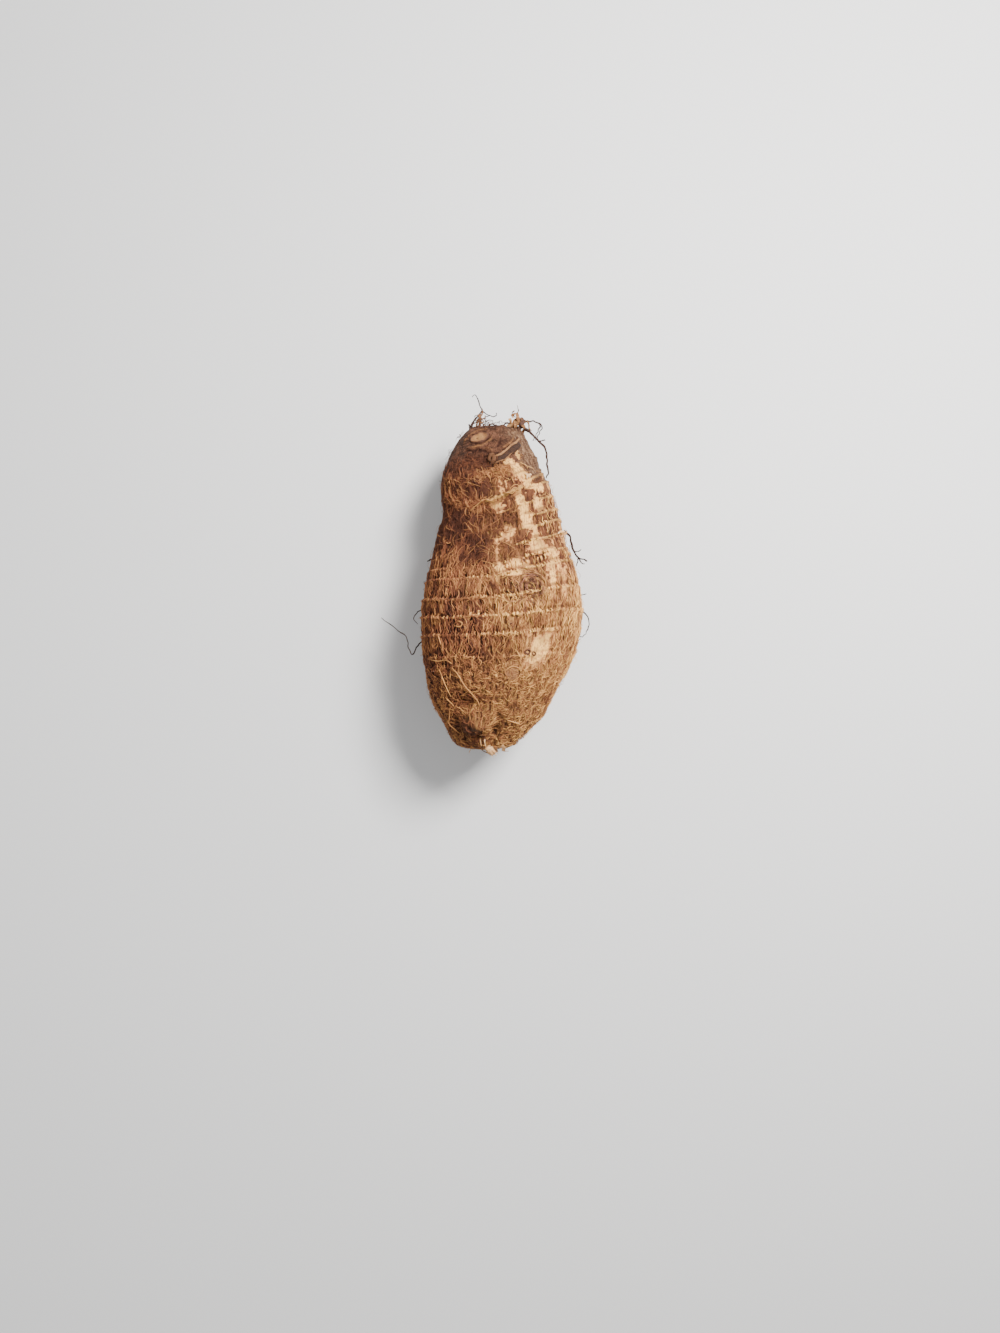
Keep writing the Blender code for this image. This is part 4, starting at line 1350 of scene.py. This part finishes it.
class TARO_OT_roots(bpy.types.Operator):
    """Make the wiry roots: knotted tubes along smooth curves, with their branches"""

    bl_idname = "taro.roots"
    bl_label = "Dry roots"

    # Each root stands for the CAD node of its name. It is branches: (width, tone, line of (sideways, along,
    # height)).
    ROOTS = {
        "crown_root_left": [
            (1.4, 0.2, [(-15.4, 177.6, 35), (-16.2, 181.2, 36.5), (-15.4, 184.0, 38), (-13.9, 186.2, 38.5),
                         (-12.2, 188.4, 39), (-10.9, 190.2, 39)]),
            (0.7, 0.0, [(-10.9, 189.8, 39), (-11.8, 193.0, 39), (-12.6, 195.5, 38.5), (-13.0, 197.2, 38),
                        (-14.0, 198.9, 37), (-15.4, 199.2, 36), (-16.2, 198.0, 36)]),
            (0.7, 0.1, [(-10.9, 189.8, 39), (-8.8, 188.6, 39.5), (-6.6, 187.2, 40), (-4.6, 186.2, 40),
                        (-3.0, 187.0, 40), (-2.6, 188.4, 40)]),
            (1.2, 0.6, [(-12.6, 178.5, 36), (-13.7, 182.0, 38), (-12.1, 184.6, 39), (-13.0, 187.0, 39.5),
                        (-11.0, 188.2, 39.5), (-10.7, 191.0, 39.5)]),
            (0.7, 0.3, [(-9.6, 180.4, 37), (-8.4, 183.6, 38.5), (-9.8, 185.8, 39), (-7.6, 186.8, 39.5),
                        (-6.4, 187.3, 40)]),
            (0.9, 0.7, [(-11.4, 179.6, 37), (-12.0, 182.4, 38.5), (-9.6, 183.8, 39), (-11.6, 186.4, 39.5),
                        (-10.2, 188.8, 39.5)]),
            (0.8, 0.5, [(-13.6, 180.0, 37), (-11.2, 181.6, 38.5), (-12.8, 184.6, 39.5), (-9.4, 186.0, 39.5),
                        (-8.6, 187.6, 39)]),
            (0.7, 0.4, [(-8.6, 180.4, 37), (-10.6, 182.8, 38.5), (-8.0, 184.0, 39.5), (-6.2, 184.6, 39),
                        (-4.2, 184.0, 38.6)]),
            (0.6, 0.2, [(-16.8, 182.0, 37), (-14.0, 183.6, 39), (-14.8, 186.8, 39), (-12.2, 187.4, 39.4)]),
            (0.6, 0.4, [(-14.8, 185.0, 38), (-12.6, 184.0, 39), (-11.0, 184.9, 39), (-9.2, 185.7, 39),
                        (-8.0, 184.0, 38), (-7.4, 181.0, 37)]),
            (1.5, 0.1, [(-16.6, 177.6, 35), (-17.5, 180.6, 36), (-17.8, 182.8, 36.4)]),
            (1.2, 0.2, [(-7.6, 179.8, 36), (-6.4, 182.6, 37), (-4.6, 183.0, 37), (-2.2, 182.2, 36)]),
            (1.1, 0.1, [(1.0, 180.0, 36), (1.8, 182.8, 36.6), (3.6, 183.2, 36.4), (5.6, 182.0, 36)]),
        ],
        "crown_root_right": [
            (1.35, 0.2, [(8.5, 181.0, 34), (12.0, 182.0, 35.5), (16.0, 178.4, 37), (20.8, 173.6, 38),
                         (24.3, 169.4, 38), (25.9, 163.8, 38), (26.3, 159.6, 38), (26.8, 155.8, 38),
                         (25.6, 152.0, 37)]),
            (1.0, 0.3, [(20.8, 173.6, 38), (23.0, 172.6, 38.6), (24.6, 173.4, 38.6)]),
            (0.9, 0.3, [(13.0, 180.4, 36), (17.5, 176.6, 37.5), (21.5, 174.0, 38)]),
        ],
        "crown_root_loop": [
            (0.9, 0.15, [(9.6, 184.6, 34), (13.0, 184.9, 34), (16.3, 185.4, 34), (19.1, 185.1, 34),
                         (22.4, 182.5, 34), (20.4, 178.6, 33), (18.0, 174.6, 32)]),
            (0.7, 0.1, [(19.6, 185.0, 34), (23.4, 182.2, 34), (21.4, 178.0, 33), (19.4, 174.6, 32)]),
            (1.1, 0.8, [(14.6, 185.6, 34), (15.9, 183.0, 34), (16.4, 181.0, 34), (17.6, 179.6, 34)]),
        ],
        "side_root_right": [
            (1.3, 0.1, [(35.6, 122.4, 37.5), (38.8, 119.0, 37.5), (41.0, 111.6, 37.5), (43.4, 107.6, 37.5),
                        (46.4, 106.2, 37.5), (49.2, 105.2, 36.5)]),
            (0.8, 0.1, [(41.0, 111.0, 37.5), (43.0, 110.4, 38.4), (45.2, 111.4, 38.8)]),
            (0.8, 0.1, [(43.6, 107.4, 37.5), (45.4, 104.6, 37), (47.4, 103.6, 36.4)]),
            (0.7, 0.0, [(43.4, 107.6, 37.5), (43.4, 104.6, 37.2), (42.6, 102.2, 37)]),
        ],
        "side_hair_right": [
            (0.7, 0.0, [(43.6, 76.6, 41), (47.0, 75.4, 41.5), (49.0, 72.8, 41.6), (49.6, 69.0, 41),
                        (48.2, 65.2, 41), (46.0, 62.4, 40.5), (43.4, 62.8, 40)]),
            (0.7, 0.0, [(42.0, 86.6, 40.6), (45.4, 86.0, 41), (47.6, 86.6, 41.4)]),
        ],
        "side_root_left": [
            (0.8, 0.1, [(-43.0, 61.4, 43), (-46.6, 57.0, 43), (-49.8, 52.4, 43), (-51.6, 56.2, 42),
                        (-52.9, 61.7, 41), (-57.8, 65.8, 39), (-68.0, 73.5, 36)]),
            (0.6, 0.1, [(-41.4, 78.0, 43), (-46.0, 76.4, 43.4), (-48.8, 72.6, 43), (-46.4, 69.6, 42.6)]),
            (1.0, 0.1, [(-37.0, 106.4, 41), (-39.8, 105.6, 41.6), (-41.6, 104.6, 41.8)]),
        ],
    }

    def execute(self, context):
        """Branches swell and shrink by noise and narrow to their ends. Waves make their curves uneven."""
        colours = context.scene.taro_colours
        material = toned_finish("dry_root", 0.8, [
            (0.0, shade(colours.root, 0.3)), (0.35, shade(colours.root, 0.8)), (0.6, (0.15, 0.066, 0.032)),
            (1.0, (0.31, 0.155, 0.064)),
        ], grain=0.6, depth=0.25)
        steps, sides = 46, 7
        rng = np.random.default_rng(context.scene.taro_sizes.seed + 3)
        for name, branches in self.ROOTS.items():
            path = crumpled(free_curves([line for _, _, line in branches], steps), 0.7, 6.0, 9)
            path = crumpled(path, 0.45, 2.6, 10)
            wide, tone = np.array([branch[:2] for branch in branches]).T
            swell = 1 + 0.5 * (curves(rng.random((len(branches), 14, 1)), steps)[..., 0] - 0.5)
            width = wide[:, None] * swell * np.linspace(1.05, 0.6, steps)
            up = np.broadcast_to((0.05, 0.1, 1.0), path.shape)
            points, faces, _, each = strand_mesh(path, width, up, sides, 0.9)
            points = crumpled(points, 0.12, 0.9, 3)
            add_piece(f"{name}_dry", points, faces, material, "dry_root", [name], tone=per_point(tone, each))
        return {"FINISHED"}


class TARO_OT_scraps(bpy.types.Operator):
    """Make the scraps: the crumpled sheath at the crown, and the torn stub with its splinters at the base"""

    bl_idname = "taro.scraps"
    bl_label = "Scraps"

    # Crumpled strips: (width, tone, line of (sideways, along, height)).
    SHEATH = [
        (3.4, 0.5, [(6.0, 178.5, 34.5), (7.2, 181.6, 37), (8.6, 184.0, 38), (9.6, 187.0, 38)]),
        (2.8, 0.75, [(9.0, 179.0, 34.5), (8.2, 182.0, 37.5), (10.0, 184.6, 39), (8.8, 187.8, 39.5)]),
        (2.6, 0.2, [(11.0, 178.6, 34.5), (10.6, 181.6, 38), (12.0, 183.6, 39), (11.2, 186.2, 39.5)]),
        (2.2, 0.9, [(4.6, 178.6, 34.5), (4.4, 181.0, 37), (5.6, 183.4, 38.5), (4.8, 186.0, 39)]),
        (2.0, 0.6, [(12.6, 178.0, 34), (13.2, 180.4, 37), (12.4, 183.0, 38.4), (14.2, 184.6, 38.6)]),
        (0.6, 0.3, [(9.6, 186.0, 38), (9.4, 188.4, 38.4), (9.9, 190.6, 38.8), (9.4, 192.6, 39)]),
        (0.5, 0.3, [(7.6, 186.0, 38), (6.8, 188.6, 38.4), (7.4, 190.4, 38.6)]),
        (1.5, 0.4, [(-12.2, 178.6, 35.5), (-12.8, 181.4, 37.6), (-11.2, 183.2, 38.6), (-12.0, 185.6, 39)]),
        (1.2, 0.8, [(-13.6, 184.2, 38.4), (-12.0, 186.2, 39.2), (-12.8, 188.0, 39.2)]),
        (1.6, 0.8, [(9.8, 187.2, 38.6), (8.2, 188.0, 39.8), (6.4, 187.2, 39.8), (6.8, 185.2, 39.2)]),
    ]
    # Torn fibres and flakes at the base and on the shoulder: (width, flatness, tone, line over the skin).
    TORN = [
        (0.6, 0.4, 0.7, [(7.1, 100, 0.2), (6.2, 98, 2.2), (5.4, 96.5, 3.6)]),
        (0.7, 0.4, 0.8, [(7.4, 93, 0.2), (6.0, 91.5, 2.0), (4.4, 90, 3.2)]),
        (0.6, 0.4, 0.5, [(8.8, 96, 0.0), (10.4, 97.5, 1.8), (12.0, 98.0, 2.2)]),
        (2.2, 0.12, 0.7, [(3.4, 60, 0.1), (2.0, 52, 1.2), (1.2, 44, 2.2), (1.8, 36, 3.0)]),
        (1.8, 0.12, 0.5, [(2.4, 72, 0.1), (1.0, 64, 1.2), (0.6, 54, 2.2)]),
        (1.4, 0.3, 0.8, [(147.2, 58.5, 0.5), (148.4, 56.5, 1.6), (149.4, 53, 1.8), (150.4, 49.5, 0.8)]),
        (1.2, 0.3, 0.9, [(150.2, 57.5, 0.5), (149.0, 55.5, 1.7), (147.8, 54.0, 0.9)]),
        (1.0, 0.3, 0.8, [(118.2, 33, 0.4), (119.8, 26, 1.6), (119.2, 20, 2.0)]),
        (1.0, 0.3, 0.6, [(117.0, 24, 0.2), (119.0, 18, 1.8), (121.2, 14, 2.2)]),
    ]
    # Long thin fibres below the base, clear of the skin: (width, tone, line of (sideways, along, height)).
    THREADS = [
        (0.55, 0.9, [(-14.6, 5.2, 52), (-16.0, 1.6, 52.5), (-17.6, -1.9, 52)]),
        (0.5, 0.3, [(-11.8, 1.0, 50), (-9.4, -1.4, 49), (-6.6, -2.6, 48), (-3.9, -3.2, 47)]),
    ]
    STRIP_STEPS = 18  # points along each of these
    STUB_FOOT = (1.6, 93.0, -2.0)  # along, degrees, lift
    STUB_WAY = (0.62, -0.62, 0.24)
    STUB_LENGTH = 8.0
    STUB_HOLLOW = 0.93  # the share of its length at which the stub turns back into its hollow end
    SPLINTERS = 26

    def execute(self, context):
        """Strips at the crown, flakes and threads at the base, and the stub."""
        colours = context.scene.taro_colours
        rng = np.random.default_rng(context.scene.taro_sizes.seed + 4)
        paper = toned_finish("papery_sheath", 0.8, [
            (0.15, shade(colours.root, 0.9)), (0.5, shade(colours.paper, 0.6)), (0.8, colours.paper),
            (1.0, shade(colours.torn, 0.95)),
        ], mottle=1.1, grain=1.2, depth=0.5)
        torn = toned_finish("torn_flesh", 0.75, [
            (0.0, shade(colours.paper, 0.35)), (0.4, colours.paper), (0.75, colours.torn),
            (1.0, (0.78, 0.57, 0.34)),
        ], grain=0.6, depth=0.35)
        self.strips(
            "sheath_strips", free_curves([line for *_, line in self.SHEATH], self.STRIP_STEPS),
            [(wide, 0.1, tone) for wide, tone, _ in self.SHEATH], paper, "papery_sheath", 0.9,
            ["sheath_remnant"])
        path, up = skin_curves([line for *_, line in self.TORN], self.STRIP_STEPS)
        self.strips("torn_flakes", path, [part[:3] for part in self.TORN], torn, "torn_flesh", 0.35, up=up)
        self.strips(
            "base_threads", free_curves([line for *_, line in self.THREADS], self.STRIP_STEPS),
            [(wide, 0.8, tone) for wide, tone, _ in self.THREADS], torn, "dry_root", 0.3)
        self.stub(rng, torn)
        return {"FINISHED"}

    @staticmethod
    def strips(name, path, parts, material, slot, crumple, replaces=(), up=(0.2, 0.3, 1.0)):
        """Flattened strands that narrow at both ends, pushed about by `crumple` to look crumpled."""
        wide, flatness, tone = np.array(parts).T
        share = np.linspace(0, 1, path.shape[1])
        width = wide[:, None] * np.sin(math.pi * (0.18 + 0.7 * share)) ** 0.7
        up = np.broadcast_to(up, path.shape)
        points, faces, _, each = strand_mesh(path, width, up, 12, flatness[:, None, None, None])
        points = crumpled(crumpled(points, crumple, 4.0, 1), crumple * 0.5, 1.6, 2)
        add_piece(name, points, faces, material, slot, replaces, tone=per_point(tone, each))

    def stub(self, rng, material):
        """A tapering stump whose end turns back into a hollow, with splinters of uneven length around it.

        The splinters start on the stump's oval section, run along it and lean out from it.
        """
        along, degrees, lift = np.array(self.STUB_FOOT)
        foot, _ = skin_point(u_at(along), np.radians(degrees), lift)
        way = np.array(self.STUB_WAY) / np.linalg.norm(self.STUB_WAY)
        share = np.linspace(0, 1, 16)
        reach = self.STUB_LENGTH * np.minimum(share, self.STUB_HOLLOW - (share - self.STUB_HOLLOW) * 4)
        body = (foot + reach[:, None] * way)[None]
        thick = 4.6 - 1.5 * share - 1.2 * (share > 0.95)
        points, faces, end_share, _ = strand_mesh(body, thick[None], np.array((0.1, 0.2, 1.0)), 16, 0.8)
        tone = 0.75 - 0.25 * (end_share < 0.3)

        count = self.SPLINTERS
        turn = rng.random((count, 1)) * TAU
        side = np.cross(way, (0.0, 0.0, 1.0))
        side /= np.linalg.norm(side)
        rise = np.cross(side, way)
        out = np.cos(turn) * side + 0.8 * np.sin(turn) * rise
        start = rng.uniform(0.2, 0.8, (count, 1)) * self.STUB_LENGTH
        long = rng.uniform(1.5, 3.6, (count, 1))
        steps = 7
        part = np.linspace(0, 1, steps)
        off_middle = 1.95 - 0.07 * start + 0.5 * part
        path = foot + way * (start + long * part)[..., None] + out[:, None] * off_middle[..., None]
        width = 0.55 * rng.lognormal(0, 0.25, (count, 1)) * np.linspace(1, 0.5, steps)
        splinters, more, _, each = strand_mesh(path, width, np.repeat(out[:, None], steps, axis=1), 4)
        add_piece(
            "base_stub_torn", crumpled(np.vstack([points, splinters]), 0.3, 2.4, 6),
            np.vstack([faces, more + len(points)]), material, "torn_flesh", ["base_stub"],
            tone=np.concatenate([tone, per_point(rng.uniform(0.4, 1.0, count), each)]),
        )


class TARO_OT_stage(bpy.types.Operator):
    """Make the pale floor, the soft lights and the camera"""

    bl_idname = "taro.stage"
    bl_label = "Stage"

    FLOOR_HALF = 20.0
    CAMERA_PLACE = (-0.56, -39.3)  # sideways and along, from the middle of the resting patch, in millimetres
    CORM_MIDDLE = (0.0, 0.0, 0.04)
    # Each light is (name, place, size, which of the stage's powers it has, colour).
    LIGHTS = [
        ("key_light", (0.40, 0.36, 0.74), 0.30, "key_power", (1.0, 0.985, 0.965)),
        ("fill_light", (-0.5, -0.1, 0.8), 0.9, "fill_power", (0.95, 0.975, 1.0)),
    ]

    def execute(self, context):
        """The camera looks straight down, from over a point nearer the base than the middle of the corm."""
        scene = context.scene
        stage = scene.taro_stage
        half = self.FLOOR_HALF
        mesh = bpy.data.meshes.new("floor")
        corners = [(-half, -half, 0), (half, -half, 0), (half, half, 0), (-half, half, 0)]
        mesh.from_pydata(corners, [], [(0, 1, 2, 3)])
        floor = bpy.data.objects.new("floor", mesh)
        scene.collection.objects.link(floor)
        paint = Finish("floor", roughness=0.6)
        paint.colour(tuple(scene.taro_colours.floor))
        mesh.materials.append(paint.material)

        world = bpy.data.worlds.new("surroundings")
        world.use_nodes = True
        sky = world.node_tree.nodes["Background"]
        sky.inputs["Color"].default_value = (1.0, 1.0, 1.0, 1)
        sky.inputs["Strength"].default_value = stage.sky
        scene.world = world

        for name, place, size, power, colour in self.LIGHTS:
            self.add_light(name, place, size, getattr(stage, power), colour)

        camera = bpy.data.cameras.new("camera")
        camera.lens = stage.lens
        holder = bpy.data.objects.new("camera", camera)
        sideways, along = self.CAMERA_PLACE
        holder.location = (sideways * MM, along * MM, stage.camera_height)
        scene.collection.objects.link(holder)
        scene.camera = holder
        return {"FINISHED"}

    def add_light(self, name, place, size, power, colour):
        """A square light that faces the middle of the corm."""
        light = bpy.data.lights.new(name, "AREA")
        light.shape = "SQUARE"
        light.size = size
        light.energy = power
        light.color = colour
        holder = bpy.data.objects.new(name, light)
        holder.location = place
        towards = Vector(self.CORM_MIDDLE) - Vector(place)
        holder.rotation_euler = towards.to_track_quat("-Z", "Y").to_euler()
        bpy.context.scene.collection.objects.link(holder)


class TARO_PT_sidebar(bpy.types.Panel):
    """The sizes, colours and steps of the taro corm"""

    bl_label = "Taro Corm"
    bl_space_type = "VIEW_3D"
    bl_region_type = "UI"
    bl_category = "Taro"

    def draw(self, context):
        """Every value, then a button for every step."""
        for group in (context.scene.taro_sizes, context.scene.taro_colours, context.scene.taro_stage):
            for name in group.bl_rna.properties.keys():
                if name not in ("rna_type", "name"):
                    self.layout.prop(group, name)
        for operator in OPERATORS:
            self.layout.operator(operator.bl_idname)


GROUPS = {"taro_sizes": TaroSizes, "taro_colours": TaroColours, "taro_stage": TaroStage}
OPERATORS = (
    TARO_OT_skin, TARO_OT_coat, TARO_OT_rings, TARO_OT_hairs, TARO_OT_scars, TARO_OT_strap, TARO_OT_roots,
    TARO_OT_scraps, TARO_OT_stage,
)


def register():
    """Adds the groups of values, the steps and the panel."""
    for name, group in GROUPS.items():
        bpy.utils.register_class(group)
        setattr(bpy.types.Scene, name, PointerProperty(type=group))
    for operator in (*OPERATORS, TARO_PT_sidebar):
        bpy.utils.register_class(operator)


def unregister():
    """Takes them away again."""
    for operator in reversed((*OPERATORS, TARO_PT_sidebar)):
        bpy.utils.unregister_class(operator)
    for name, group in GROUPS.items():
        delattr(bpy.types.Scene, name)
        bpy.utils.unregister_class(group)


def main():
    """Makes every piece in order."""
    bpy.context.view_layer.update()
    register()
    for operator in OPERATORS:
        group, call = operator.bl_idname.split(".")
        getattr(getattr(bpy.ops, group), call)()


if __name__ == "__main__":
    main()
